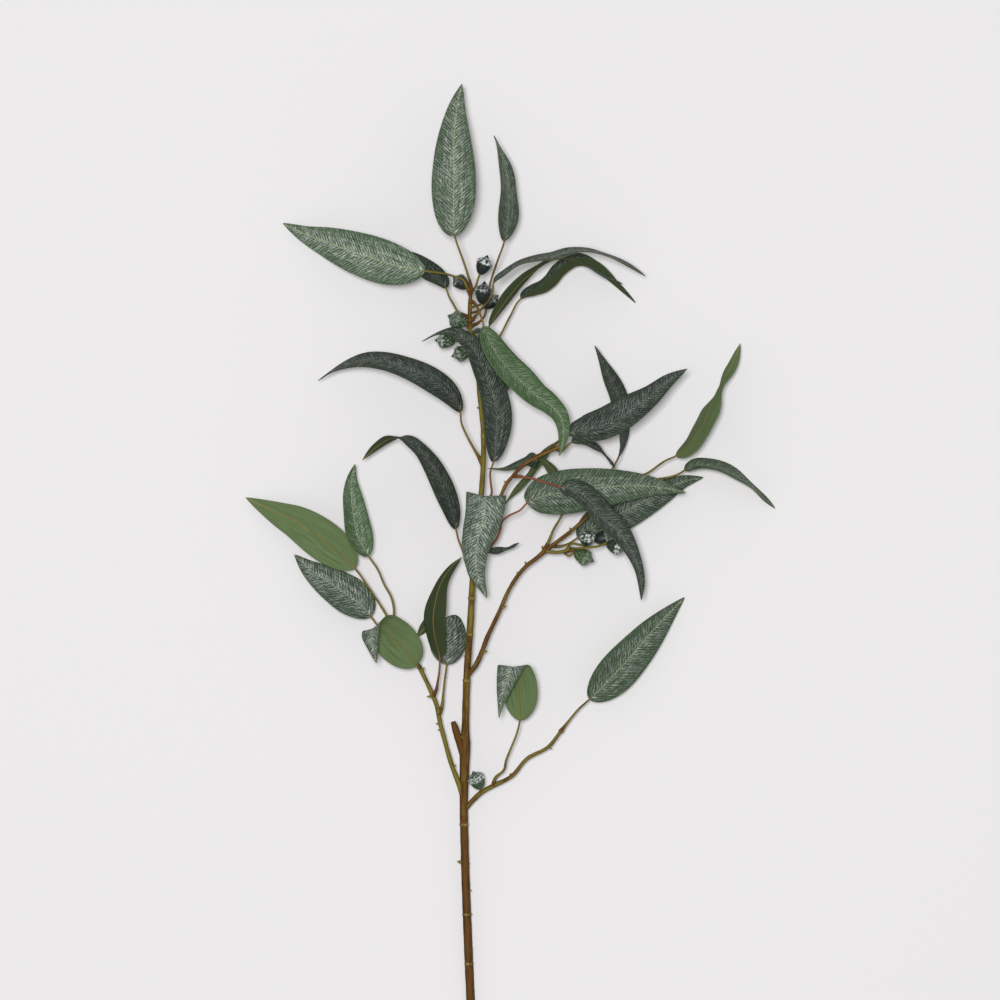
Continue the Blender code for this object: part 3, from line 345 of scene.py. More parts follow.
# Leaves. "stalk" runs from the middle of the wood to the blade, "rib" from the
# blade's base to its tip. "roll" turns the blade about its rib, in degrees,
# evenly spread from base to tip: 0 shows the upper side, 180 the under side.
LEAVES = [
    dict(name="leaf_01", tone=(0.1, 0.85, 0.25), stalk_tone=(0.35, 0),
         wood="main_stem", width=40, fold=8, roll=[0, 0, 0],
         stalk=[(-26.1, 189, 54), (-27, 196, 56), (-29, 203, 58), (-33, 215, 62)],
         rib=[(-40.5, 237, 66), (-41.6, 274, 68), (-41.4, 297, 66), (-41.2, 324, 60),
              (-39.2, 351, 51), (-34.4, 375, 41)]),
    dict(name="leaf_02", tone=(0.25, 0.6, 0.2), stalk_tone=(0.45, 0.1),
         wood="main_stem", width=33, fold=3, roll=[58, 64, 64],
         stalk=[(-27, 156, 50.3), (-19, 160, 44), (-13.5, 167, 37), (-12, 180, 35),
                (-8.6, 196, 40), (-2.3, 215, 49)],
         rib=[(4.1, 233, 55), (7, 256, 60), (7, 280, 60), (3.5, 305, 55), (-5.4, 328.5, 44)]),
    dict(name="leaf_03", tone=(0.05, 0.95, 0.35), stalk_tone=(0.25, 0),
         wood="main_stem", width=40, fold=6, roll=[10, 0, 0, -4],
         stalk=[(-26.2, 184.5, 53.5), (-29.5, 191, 56.5), (-34, 198.5, 58.5),
                (-38.3, 200, 59), (-46, 202.5, 59)],
         rib=[(-67.5, 206, 57), (-89, 209.7, 53), (-122.4, 220.5, 40), (-153, 232, 24),
              (-177, 241, 10), (-197, 251, 0.8)]),
    dict(name="leaf_04", tone=(0.85, 0.25, 0), stalk_tone=(0.3, 0),
         wood="main_stem", width=27, fold=8, roll=[45, 45, 40],
         stalk=[(-27, 164, 51.3), (-33, 167, 47), (-38.3, 170, 43.5), (-41.4, 175.5, 42),
                (-46, 183.6, 42.5)],
         rib=[(-48.6, 190.8, 43), (-60, 202, 37), (-76, 215, 28), (-94, 222, 18),
              (-112, 226, 10)]),
    dict(name="leaf_05", tone=(0.45, 0.5, 0.1), stalk_tone=(0.3, 0),
         wood="main_stem", width=24, fold=3,
         roll=[-79, -82, -80, -83, -72, -66, -62],
         stalk=[(-27, 161, 51), (-23.9, 163, 52.5), (-19.8, 168.3, 54.5), (-14.9, 173.7, 60),
                (-9.9, 180, 67), (-6.3, 187.2, 71)],
         rib=[(-5.6, 195.4, 73), (4.1, 203.4, 75), (19.1, 212.7, 77), (33.9, 216.5, 78),
              (47.4, 218.2, 77), (65.3, 223.5, 73), (80.3, 223.6, 67), (96.7, 219.6, 59),
              (113, 213, 49), (131.3, 202, 35)]),
    dict(name="leaf_06", tone=(0.8, 0.35, 0), stalk_tone=(0.3, 0.05),
         wood="main_stem", width=24, fold=6,
         roll=[-118, -112, -108, -100, -78, -68, -66],
         stalk=[(-22.8, 137, 48.8), (-17, 141, 47), (-12.5, 149, 45)],
         rib=[(-9.5, 157, 45), (1.2, 174.1, 47), (10.1, 186.4, 48), (21.2, 198.6, 49),
              (33.9, 208.5, 49), (47.4, 216, 48), (62.4, 217, 46), (84.6, 207.3, 39),
              (96.7, 200.7, 33), (110.7, 195.3, 25)]),
    dict(name="leaf_07", tone=(0.8, 0.35, 0), stalk_tone=(0.3, 0),
         wood="main_stem", width=34, fold=40,
         roll=[-70, -78, -80, -80, -80],
         stalk=[(-21.5, 126, 48), (-13, 131, 39), (-0.8, 147, 30), (9, 165.6, 26)],
         rib=[(19.1, 182, 24), (32.4, 185.7, 22), (41.4, 188.6, 20.5), (50.4, 195.3, 19.5),
              (57.9, 204.3, 19), (72, 212.4, 18.5), (82.8, 209.7, 17), (92.7, 203.4, 15),
              (101.2, 196.8, 13), (110.1, 189.4, 11), (122.8, 178.9, 8)]),
    dict(name="leaf_08", tone=(0.1, 0.5, 0.9), stalk_tone=(0.4, 0.35),
         wood="main_stem", width=32, fold=8,
         roll=[-40, -40, -38, -30, -30],
         stalk=[(-26.8, 179, 53), (-22.5, 176.5, 57.5), (-18.7, 169, 62.5), (-16, 162, 64.5)],
         rib=[(-14.4, 155.7, 65), (-6, 136, 66), (5.7, 120, 66), (18.3, 107.4, 65),
              (31.5, 94.5, 63), (44, 86, 61), (53.5, 76, 60), (57, 63, 60), (55.5, 50, 60),
              (53.6, 39.6, 57)]),
    dict(name="leaf_09", tone=(0.8, 0.45, 0), stalk_tone=(0.4, 0.55),
         wood="main_stem", width=34, fold=8, roll=[45, 45, 45, 50, 60],
         stalk=[(-17.8, -3, 38.8), (-11, 0, 41.5), (-7.5, 6, 44.5), (-8.2, 14, 47.5),
                (-8.7, 25, 50.5)],
         rib=[(-5.9, 34.2, 53), (-4, 55.8, 57), (-3.6, 76.5, 59), (-7.2, 96.3, 60),
              (-14.4, 116.1, 60.5), (-23.4, 135, 60.5), (-34.2, 146.7, 60), (-44.1, 151.2, 58),
              (-54, 149.9, 55.5), (-70, 143, 49)]),
    dict(name="leaf_10", tone=(0.95, 0.4, 0.1), stalk_tone=(0.2, 0),
         wood="upper_right_twig", width=36, fold=8, roll=[-42, -42, -42],
         stalk=[(55.8, 48.6, 51.5), (58.5, 53.1, 53)],
         rib=[(62.1, 59.4, 55), (76.5, 63, 58), (95.4, 68.4, 62), (115.2, 79.2, 64),
              (135, 92.7, 64), (151.2, 107.1, 62), (168.3, 117.9, 58)]),
    dict(name="leaf_11", tone=(0.85, 0.3, 0.1), stalk_tone=(0.3, 0.2),
         wood="middle_right_branch", width=34, fold=6, roll=[80, 76, 56, 54, 52],
         stalk=[(94.4, -1, 29.7), (95.5, 6, 31.5), (98, 20, 33), (102.2, 29.7, 34)],
         rib=[(107, 38.7, 34), (109.6, 51.3, 34), (110.7, 62, 34.5), (109.8, 76.5, 35),
              (106.2, 91.8, 35), (98.1, 112.5, 33), (85.5, 139.5, 29)]),
    dict(name="leaf_12", tone=(0.8, 0.5, 0), stalk_tone=(0.2, 0),
         wood="upper_right_twig", width=22, fold=6, roll=[-66, -70, -70],
         stalk=[(50.6, 46.5, 51), (55, 44.5, 48.5), (60, 48.5, 47.5)],
         rib=[(64.8, 52.2, 47), (76.5, 51.3, 45.5), (88.2, 45.9, 43.5), (97, 37.5, 41.5),
              (104, 28.5, 40)]),
    dict(name="leaf_13", tone=(0.45, 0.6, 0.5), stalk_tone=(0.4, 0.8),
         wood="main_stem", width=40, fold=6, peak=0.27, roll=[-12, -8, -8],
         stalk=[(-24, -60.5, 34.5), (-17.3, -53.1, 36.8), (-10.4, -44.6, 39), (-3.2, -35.1, 41),
                (0.2, -26.6, 42.5), (1.6, -19.5, 44), (6.8, -14.9, 45.5), (18.9, -8.6, 48)],
         rib=[(24.3, -2.7, 49), (36, 2.7, 51), (58.5, 7, 53), (77.4, 9.3, 53),
              (108, 12.3, 50), (133.2, 12.6, 46), (151, 10.2, 42), (167.4, 6.6, 37)]),
    dict(name="leaf_14", tone=(0.7, 0.45, 0.1), stalk_tone=(0.4, 0.95),
         wood="upper_right_twig", width=32, fold=8,
         roll=[-40, -56, -58, -58, -50],
         stalk=[(12, 22, 45.6), (20.7, 20.7, 50), (27.5, 19.8, 53.5), (39.2, 16.2, 59)],
         rib=[(53.6, 12, 64), (67.5, 9, 68), (81, -0.9, 71), (91.8, -14.4, 71.5),
              (106.2, -28.8, 70), (117, -45, 66), (124.2, -61.2, 60), (126.9, -73.8, 54),
              (127.3, -90.3, 45)]),
    dict(name="leaf_15", tone=(0.6, 0.5, 0.2), stalk_tone=(0.1, 0),
         wood="middle_right_branch", width=34, fold=6, roll=[-8, -8, -8],
         stalk=[(47, -41, 32), (52, -42, 28.5), (59.4, -40.5, 25)],
         rib=[(70.2, -34.2, 22), (87.3, -22.5, 20), (103.5, -14.4, 18.5), (126.9, -2.7, 17),
              (146.7, 7.2, 15), (164.7, 16.2, 13), (184.1, 20.7, 10)]),
    dict(name="leaf_16", tone=(0.1, 0.3, 0.3), stalk_tone=(0.2, 0.1),
         wood="middle_right_branch", width=32, fold=8,
         roll=[122, 122, 118, 99, 126, 136],
         stalk=[(100.8, 4.9, 29.3), (104, 12, 27), (114, 17.5, 26.3), (133.2, 24.4, 27.5),
                (149.4, 35.5, 29)],
         rib=[(159.3, 40, 30), (171, 49.5, 31), (179.5, 63, 31), (190, 83.5, 29.5),
              (196.2, 98.1, 27), (201.5, 108, 25), (210.5, 123.5, 21), (217.4, 141.5, 15)]),
    dict(name="leaf_17", tone=(0.2, 0.5, 0.4), stalk_tone=(0.3, 0.1),
         wood="middle_right_branch", width=26, fold=8, roll=[-60, -60, -56, -50],
         stalk=[(105.3, 9, 29), (120, 13.2, 30), (140, 18.5, 30), (153, 20.7, 29.5),
                (161.1, 23.4, 29)],
         rib=[(167.1, 27, 28), (177.3, 31.4, 27), (189, 31.2, 25), (200.3, 28.6, 21.5),
              (212.9, 22.4, 17), (225.9, 13.4, 11.5), (241.2, 0, 5), (249.6, -7.7, 1)]),
    dict(name="leaf_18", tone=(0.3, 0.95, 0.1), stalk_tone=(0.2, 0),
         wood="main_stem", width=36, fold=8,
         roll=[180, 180, 184, 188, 190, 190],
         stalk=[(-21.6, -41, 36), (-17.5, -40, 41)],
         rib=[(-14.5, -35, 46), (-13.4, -22, 49.5), (-12.8, -10, 51.5), (-12.5, -1.5, 53.5),
              (-12.5, 3.4, 57), (-12.6, 2, 60.8), (-13, -5, 63), (-14.5, -14.5, 63.6),
              (-18.8, -29.7, 62.5), (-22, -45, 60), (-21, -64, 56), (-11.8, -88.2, 49)]),
    dict(name="leaf_19", tone=(0.7, 0.3, 0.2), stalk_tone=(0.2, 0),
         wood="main_stem", width=11, fold=6, roll=[-55, -60, -60],
         stalk=[(-19.4, -14, 37.8), (-15, -20, 34), (-15.5, -30, 30.5)],
         rib=[(-15.5, -39, 29), (-11, -45, 29), (-4, -46, 29.5), (5, -44.6, 30.5),
              (17.1, -38.7, 32)]),
    dict(name="leaf_20", tone=(0.4, 0.3, 0.2), stalk_tone=(0.2, 0),
         wood="middle_right_branch", width=17, fold=6,
         roll=[-125, -120, -112, 60, 60, 62],
         stalk=[(39.6, -46.8, 32), (43.4, -38.7, 33), (48.6, -26.1, 34), (54.9, -15.3, 34.5),
                (58.5, -4.5, 35)],
         rib=[(57.8, 5.5, 35.5), (52.2, 18, 36), (45.9, 28.8, 36.5), (38.7, 35.4, 36.5),
              (27, 35.1, 36.5), (16.2, 31.4, 35.5), (2.7, 27.9, 34), (-11, 28.6, 32)]),
    dict(name="leaf_21", tone=(0.5, 0.5, 0.1), stalk_tone=(0.2, 0),
         wood="upper_right_twig", width=15, fold=6, roll=[-120, -122, -120],
         stalk=[(46.5, 44.9, 50.7), (49.5, 50, 46), (54, 53.5, 38), (53.5, 53.5, 31)],
         rib=[(48.5, 50.4, 26), (41.4, 43.6, 23), (34.2, 34.2, 21), (26.6, 22.9, 20),
              (16.2, 10.8, 20), (7.2, 0, 20), (1.8, -8.1, 20)]),
    dict(name="leaf_22", tone=(0.95, 0.4, 0), stalk_tone=(0.3, 0.2),
         wood="main_stem", width=33, fold=3, roll=[50, 56, 58, 60],
         stalk=[(-15.3, 31.5, 41.4), (-19.5, 39.5, 43), (-24.3, 47.7, 44.3),
                (-29.7, 57.6, 45.5), (-35.1, 71.1, 48)],
         rib=[(-35.6, 79.2, 49), (-41, 89.5, 51), (-48, 97.5, 52), (-61.5, 107.5, 53),
              (-87.3, 119.7, 53), (-108, 125.1, 50), (-122.4, 126, 46), (-143.1, 120.6, 39),
              (-164.2, 108, 28)]),
    dict(name="leaf_23", tone=(0.85, 0.35, 0.1), stalk_tone=(0.4, 0.3),
         wood="main_stem", width=30, fold=3,
         roll=[48, 55, 55, 66, 104, 110],
         stalk=[(-24.6, -71, 33.7), (-28.8, -61.5, 36), (-31.5, -51.3, 38.5),
                (-34.5, -43.2, 40.2), (-37.4, -36, 41.5)],
         rib=[(-39.6, -26.1, 43), (-43.4, -10.8, 46), (-48, 2.2, 48), (-54.4, 17.2, 50),
              (-64, 34.5, 52), (-74.4, 47.2, 52), (-88.2, 56.3, 50), (-99.5, 55.4, 46),
              (-110.7, 48.6, 41), (-124.2, 36, 34)]),
    dict(name="leaf_24", tone=(0.2, 0.65, 0.9), stalk_tone=(0.1, 0),
         wood="lower_left_branch", width=29, fold=22, roll=[30, 30, 25],
         stalk=[(-91.8, -122.4, 24), (-95.9, -109.8, 24), (-95.8, -99, 25), (-98.1, -88.2, 26),
                (-104.4, -76.5, 28), (-110.7, -62.1, 30)],
         rib=[(-118.8, -50.4, 32), (-128, -34.2, 34), (-132.5, -13.5, 34), (-134.5, 4.5, 32),
              (-134, 19.8, 28), (-131, 32.4, 24)]),
    dict(name="leaf_25", tone=(0, 0.4, 0.2), stalk_tone=(0.4, 0.15),
         wood="lower_left_branch", width=36, fold=5, roll=[180, 180, 180],
         stalk=[(-88, -128, 24.2), (-94.5, -122.5, 26.5), (-101, -107, 27.5),
                (-108.9, -93.6, 28), (-117.9, -80.1, 28)],
         rib=[(-131.4, -61.2, 28), (-144, -49, 27), (-163.8, -33.5, 24), (-183.6, -20.3, 19),
              (-199.8, -12.8, 13.5), (-214.2, -5.9, 8), (-230.4, 2.1, 2)]),
    dict(name="leaf_26", tone=(0.25, 0.8, 0.1), stalk_tone=(0.1, 0),
         wood="lower_left_branch", width=36, fold=8, roll=[20, 20, 20],
         stalk=[(-82, -137, 24.5), (-90, -134, 21.5), (-101, -123, 19.5), (-110.7, -113.4, 19)],
         rib=[(-117, -105.3, 19), (-128.7, -92.7, 19), (-144, -81.9, 18), (-160.2, -71.1, 15),
              (-172.8, -62.1, 12), (-186.3, -49.5, 8)]),
    dict(name="leaf_27", tone=(0.05, 0.9, 0.1), stalk_tone=(0.05, 0),
         wood="lower_left_branch", width=38, fold=6,
         roll=[180, 180, 165, 125, 110],
         stalk=[(-72.9, -151, 25), (-73.2, -151, 29.5)],
         rib=[(-74.9, -149, 33.5), (-90, -131.4, 37), (-99, -122.5, 40.5), (-105.5, -116.5, 45),
              (-110.5, -114, 50), (-114.5, -116, 54), (-116, -122.5, 56),
              (-114, -134, 55), (-111, -146.7, 52)]),
    dict(name="leaf_28", tone=(0, 1, 0.1), stalk_tone=(0, 0),
         wood="lower_right_branch", width=33, fold=6,
         roll=[185, 168, 150, 163, 166],
         stalk=[(-5.9, -258.3, 19), (-4.5, -251.6, 21.5), (3.6, -243.9, 23), (5.4, -235.8, 25),
                (9.9, -224.1, 28), (14.4, -213, 31)],
         rib=[(18, -198.7, 34), (18.6, -184, 37), (17.6, -170, 39.5), (15.4, -157.5, 41.5),
              (13.2, -151.5, 44), (11.4, -150.2, 47.5), (9.6, -153, 50.5), (6.4, -161.5, 52),
              (3, -173, 51.5), (0.6, -185, 50), (-0.9, -196.2, 47.5)]),
    dict(name="leaf_29", tone=(0.25, 0.55, 0.3), stalk_tone=(0.1, 0),
         wood="lower_right_branch", width=37, fold=7, roll=[16, 16, 16],
         stalk=[(54.5, -209.7, 22), (61.7, -200.3, 22.5), (71.1, -189, 23)],
         rib=[(81, -180, 23.5), (99, -162, 24), (118.8, -140.4, 23), (139.5, -117, 19),
              (154.8, -100.8, 13.5), (167, -88.2, 8)]),
    dict(name="leaf_30", tone=(0.9, 0.3, 0.2), stalk_tone=(0.45, 0.7),
         wood="lower_left_branch", width=30, fold=6,
         roll=[130, 130, 128, 125],
         stalk=[(-60.5, -177, 24.5), (-58, -172.5, 28), (-56.2, -164, 31.5), (-54.6, -153, 35)],
         rib=[(-54.4, -141.3, 38), (-58, -126, 40), (-60, -108, 41), (-57.6, -90, 40),
              (-52.3, -73.8, 37.5), (-43.2, -60.3, 33), (-34.6, -51.6, 29)]),
    dict(name="leaf_31", tone=(0.7, 0.75, 0), stalk_tone=(0.1, 0),
         wood="lower_left_branch", width=34, fold=8,
         roll=[8, 8, 25, 75, 90],
         stalk=[(-55.6, -194.5, 23.4), (-52.4, -186, 23.4), (-51.6, -178, 23), (-50.2, -164.3, 22.5)],
         rib=[(-48.2, -148.5, 22), (-47.7, -135, 21), (-47.3, -123.5, 20), (-47.6, -114.5, 18.4),
              (-50, -108.5, 15), (-54.5, -107.4, 12), (-62.1, -110.2, 10.4), (-68.4, -116, 10),
              (-75, -124, 10)]),
]

# Gumnuts. "heart" is the middle of the nut, "point" the way that its beak looks,
# "size" a share of the usual radius
GUMNUTS = [
    dict(name="gumnut_01", tone=(1.1, 0.1, 0), stalk_tone=(0.4, 0),
         wood="main_stem", heart=(-14.4, 211.9, 56), point=(0.38, 0.92, 0.1),
         size=0.95, stalk=[(-26.6, 186.5, 53.8), (-22.4, 191, 55.5), (-19.8, 198.5, 55.5)]),
    dict(name="gumnut_02", tone=(0.6, 0, 0), stalk_tone=(0.4, 0),
         wood="main_stem", heart=(-14.9, 187, 58), point=(0.12, 0.99, 0.1),
         size=1.04, stalk=[(-27, 173, 52.4), (-21.5, 174.5, 54)]),
    dict(name="gumnut_03", tone=(0.5, 0.1, 0), stalk_tone=(0.4, 0),
         wood="main_stem", heart=(-36.2, 196.7, 43.5), point=(-0.75, 0.6, -0.2),
         size=0.9, stalk=[(-26.2, 187, 53.9), (-28.6, 190, 49.5)]),
    dict(name="gumnut_04", tone=(0.4, 0, 0), stalk_tone=(0.4, 0),
         wood="main_stem", heart=(-7.8, 179.1, 46), point=(0.7, 0.6, -0.2),
         size=0.9, stalk=[(-27, 168, 51.8), (-20.5, 170, 47.5)]),
    dict(name="gumnut_05", tone=(0.2, 0.8, 0.7), stalk_tone=(0.3, 0),
         wood="main_stem", heart=(-38.8, 162.2, 55.4), point=(-0.85, 0.4, 0.3),
         size=1.02, stalk=[(-27, 153.5, 50), (-29.6, 156, 51.2)]),
    dict(name="gumnut_06", tone=(0.7, 0.9, 0.5), stalk_tone=(0.3, 0),
         wood="main_stem", heart=(-50, 143.6, 43.5), point=(-1, 0.05, -0.1),
         size=0.95, stalk=[(-24.6, 143.5, 49.3), (-32, 143.4, 46)]),
    dict(name="gumnut_07", tone=(0.4, 1, 0.5), stalk_tone=(0.3, 0),
         wood="main_stem", heart=(-35.5, 132, 42.5), point=(-0.9, -0.3, -0.1),
         size=0.95, stalk=[(-22.5, 134, 48.7), (-25.8, 133.4, 46)]),
    dict(name="gumnut_08", tone=(0.4, 0.6, 0.5), stalk_tone=(0.3, 0),
         wood="main_stem", heart=(-19.5, 148.5, 38.6), point=(0.3, 0, -0.95),
         size=0.9, stalk=[(-26.5, 150.8, 49.8), (-23.4, 149.6, 48)]),
    dict(name="gumnut_09", tone=(0.8, 1, 0.3), stalk_tone=(0.3, 0),
         wood="main_stem", heart=(4.5, 105, 37), point=(0.8, 0.3, -0.5),
         size=0.9, stalk=[(-18.6, 96, 45.4), (-10, 99, 42)]),
    dict(name="gumnut_10", tone=(0.8, 0.3, 0.5), stalk_tone=(0.2, 0),
         wood="lower_right_branch", heart=(-21.1, -252.5, 27),
         point=(-0.35, 0.8, 0.45), size=1.0, stalk=[(-17.1, -264.6, 18.2), (-17.4, -262.6, 21.2)]),
    dict(name="gumnut_11", tone=(0.35, 0.5, 0.9), stalk_tone=(0.1, 0),
         wood="middle_right_branch", heart=(76.2, -51.6, 36),
         point=(0.85, -0.4, 0.1), size=1.0, stalk=[(57.5, -46.4, 34), (62, -50.5, 34.8)]),
    dict(name="gumnut_12", tone=(1, 0.2, 0.2), stalk_tone=(0.1, 0),
         wood="middle_right_branch", heart=(78.6, -34, 38.5),
         point=(0.1, 0.7, 0.7), size=0.95, stalk=[(59.5, -45.6, 34.1), (63.5, -40, 35.5)]),
    dict(name="gumnut_13", tone=(0.5, 0.1, 0), stalk_tone=(0.6, 0.1),
         wood="middle_right_branch", heart=(93.6, -34.2, 31),
         point=(0.9, 0.2, -0.2), size=0.9, stalk=[(54.5, -47, 34), (59, -47, 29),
                                                  (78, -42.5, 27.8)]),
    dict(name="gumnut_14", tone=(1, 0.3, 0.2), stalk_tone=(0.1, 0),
         wood="middle_right_branch", heart=(105.4, -42.2, 43),
         point=(0.9, -0.3, 0.3), size=0.98, stalk=[(63, -43.6, 34.5), (66.5, -43.8, 38.5),
                                                   (75, -43.2, 44), (88, -41.8, 44)]),
]

# A nut's outline from foot to beak, in nut radiuses: share of the radius, height
GUMNUT_OUTLINE = [
    (0.0, -1.4), (0.28, -1.37), (0.5, -1.18), (0.76, -0.78), (0.93, -0.3), (1.0, 0.08),
    (0.98, 0.3), (0.88, 0.5), (0.66, 0.66), (0.4, 0.84), (0.16, 1.14), (0.0, 1.34),
]


def from_hex(text):
    """An sRGB hex colour as linear red, green, blue and a full alpha."""
    parts = [int(text[place:place + 2], 16) / 255 for place in (0, 2, 4)]
    linear = [part / 12.92 if part <= 0.04045 else ((part + 0.055) / 1.055) ** 2.4
              for part in parts]
    return (*linear, 1.0)


def add_node(tree, kind, inputs=(), **settings):
    """Adds a node. Inputs are values, sockets or nodes, by place, name or number."""
    node = tree.nodes.new(kind)
    for name, value in settings.items():
        setattr(node, name, value)
    pairs = inputs.items() if isinstance(inputs, dict) else enumerate(inputs)
    for key, value in pairs:
        if isinstance(value, bpy.types.Node):
            value = value.outputs[0]
        if isinstance(value, bpy.types.NodeSocket):
            tree.links.new(value, node.inputs[key])
        else:
            node.inputs[key].default_value = value
    return node


def colour(name, text, description):
    """A colour setting, from its sRGB hex value."""
    return bpy.props.FloatVectorProperty(
        name=name, description=description, subtype="COLOR", size=4, min=0.0, max=1.0,
        default=from_hex(text))


def length(name, millimetres, description):
    """A length setting, given in millimetres and kept in metres."""
    return bpy.props.FloatProperty(
        name=name, description=description, unit="LENGTH", precision=5, min=0.0,
        default=millimetres * MM)


class Route:
    """A smooth curve through points, read by distance along it."""

    def __init__(self, points):
        self.points = smooth_points([Vector(point) for point in points])
        steps = [(after - before).length for before, after in zip(self.points, self.points[1:])]
        self.lengths = np.concatenate([[0.0], np.cumsum(steps)])
        self.length = float(self.lengths[-1])

    def at(self, distance):
        """The point that lies this far along, or the nearer end."""
        distance = min(max(distance, 0.0), self.length)
        index = int(np.searchsorted(self.lengths, distance, side="right")) - 1
        index = min(index, len(self.points) - 2)
        step = self.lengths[index + 1] - self.lengths[index]
        share = (distance - self.lengths[index]) / step
        return self.points[index].lerp(self.points[index + 1], share)

    def heading(self, distance):
        """The way that the route runs there."""
        before = self.at(distance - HEADING_STEP)
        return (self.at(distance + HEADING_STEP) - before).normalized()

    def distance_of(self, point_number):
        """How far along one of the points that it was made from lies."""
        return float(self.lengths[point_number * SPAN_SAMPLES])


def smooth_points(points):
    """Hermite spans whose slopes are weighed by the lengths on either side."""
    slopes = []
    for index, point in enumerate(points):
        before = points[max(index - 1, 0)]
        after = points[min(index + 1, len(points) - 1)]
        length_before = (point - before).length
        length_after = (after - point).length
        if index == 0:
            slopes.append((after - point) / length_after)
        elif index == len(points) - 1:
            slopes.append((point - before) / length_before)
        else:
            slope_before = (point - before) / length_before
            slope_after = (after - point) / length_after
            total = length_before + length_after
            slopes.append((slope_before * length_after + slope_after * length_before) / total)
    result = []
    for index in range(len(points) - 1):
        start = points[index]
        end = points[index + 1]
        span = (end - start).length
        for sample in range(SPAN_SAMPLES):
            t = sample / SPAN_SAMPLES
            result.append(
                start * (2 * t**3 - 3 * t**2 + 1)
                + slopes[index] * span * (t**3 - 2 * t**2 + t)
                + end * (3 * t**2 - 2 * t**3)
                + slopes[index + 1] * span * (t**3 - t**2)
            )
    result.append(points[-1].copy())
    return result


def spread(values, share):
    """Reads a list of numbers that are evenly spread over 0 to 1, smoothly."""
    place = share * (len(values) - 1)
    index = min(int(place), len(values) - 2)
    local = place - index
    eased = local * local * (3 - 2 * local)
    return values[index] + (values[index + 1] - values[index]) * eased


def to_world(point):
    """A place in the tables, in metres from the middle of the branch's box."""
    return (Vector(point) - TABLE_CENTRE) * MM


def wood_line(table):
    """Closely spaced points along the middle of the wood, with its radius there."""
    route = Route([row[:3] for row in table])
    line = []
    for index, point in enumerate(route.points):
        number = min(index // SPAN_SAMPLES, len(table) - 2)
        share = index / SPAN_SAMPLES - number
        radius = table[number][3] + (table[number + 1][3] - table[number][3]) * share
        line.append((point, radius))
    return line


def spur_length(line, route, foot_radius):
    """How far along its route a stalk has come clear of the wood it grows from."""
    distance = SPUR_SHORTEST
    while distance < route.length / 2:
        place = route.at(distance)
        clearance = min((place - point).length - radius for point, radius in line)
        if clearance > foot_radius + SPUR_CLEARANCE:
            break
        distance += SPUR_STEP
    return distance


def line_mesh(name, points, attributes):
    """A chain of points that carries named numbers or vectors for a node tree."""
    mesh = bpy.data.meshes.new(name)
    edges = [(index, index + 1) for index in range(len(points) - 1)]
    mesh.from_pydata([to_world(point) for point in points], edges, [])
    for key, values in attributes.items():
        if isinstance(values[0], (float, int)):
            layer = mesh.attributes.new(key, "FLOAT", "POINT")
            layer.data.foreach_set("value", [float(value) for value in values])
        else:
            layer = mesh.attributes.new(key, "FLOAT_VECTOR", "POINT")
            layer.data.foreach_set("vector", [part for value in values for part in value])
    item = bpy.data.objects.new(name, mesh)
    bpy.context.scene.collection.objects.link(item)
    return item


def keep_result(item):
    """Makes what an object's modifiers show its plain mesh."""
    graph = bpy.context.evaluated_depsgraph_get()
    mesh = bpy.data.meshes.new_from_object(item.evaluated_get(graph))
    item.modifiers.clear()
    item.data = mesh


def run_tree(item, tree, values):
    """Runs a node tree on an object and keeps the plain mesh."""
    nodes = item.modifiers.new("Grow", "NODES")
    nodes.node_group = tree
    for socket in tree.interface.items_tree:
        if socket.item_type == "SOCKET" and socket.in_out == "INPUT" and socket.name in values:
            nodes[socket.identifier] = values[socket.name]
    keep_result(item)
    return item


def keep_above_floor(mesh):
    """Presses what would dip under the surface flat onto it."""
    places = np.empty(len(mesh.vertices) * 3, dtype=np.float32)
    mesh.vertices.foreach_get("co", places)
    places = places.reshape(-1, 3)
    places[:, 2] = np.maximum(places[:, 2], 0.0)
    mesh.vertices.foreach_set("co", places.ravel())
    mesh.update()


def join(name, items):
    """One object of several, with the first one's place and all their materials."""
    with bpy.context.temp_override(
            active_object=items[0], object=items[0], selected_objects=items,
            selected_editable_objects=items):
        bpy.ops.object.join()
    items[0].name = name
    keep_above_floor(items[0].data)
    return items[0]


def give(piece, node):
    """Hides the CAD part that a finished piece stands in for, and hangs the piece on the root body
    that it moves with.
    """
    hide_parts(node)
    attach(piece, "root")


def new_tree(name, inputs):
    """A geometry node tree, add_node bound to it, and its inputs: geometry, then the named."""
    tree = bpy.data.node_groups.new(name, "GeometryNodeTree")
    tree.interface.new_socket("Geometry", in_out="INPUT", socket_type="NodeSocketGeometry")
    tree.interface.new_socket("Geometry", in_out="OUTPUT", socket_type="NodeSocketGeometry")
    for key, kind in inputs:
        tree.interface.new_socket(key, in_out="INPUT", socket_type="NodeSocket" + kind)
    add = functools.partial(add_node, tree)
    return tree, add, add("NodeGroupInput").outputs


def end_tree(add, geometry, material):
    """Realizes what the tree made, sets its material and hands it out."""
    real = add("GeometryNodeRealizeInstances", [geometry])
    round_shaded = add("GeometryNodeSetShadeSmooth", {"Geometry": real})
    finished = add("GeometryNodeSetMaterial", {"Geometry": round_shaded, "Material": material})
    add("NodeGroupOutput", [finished])


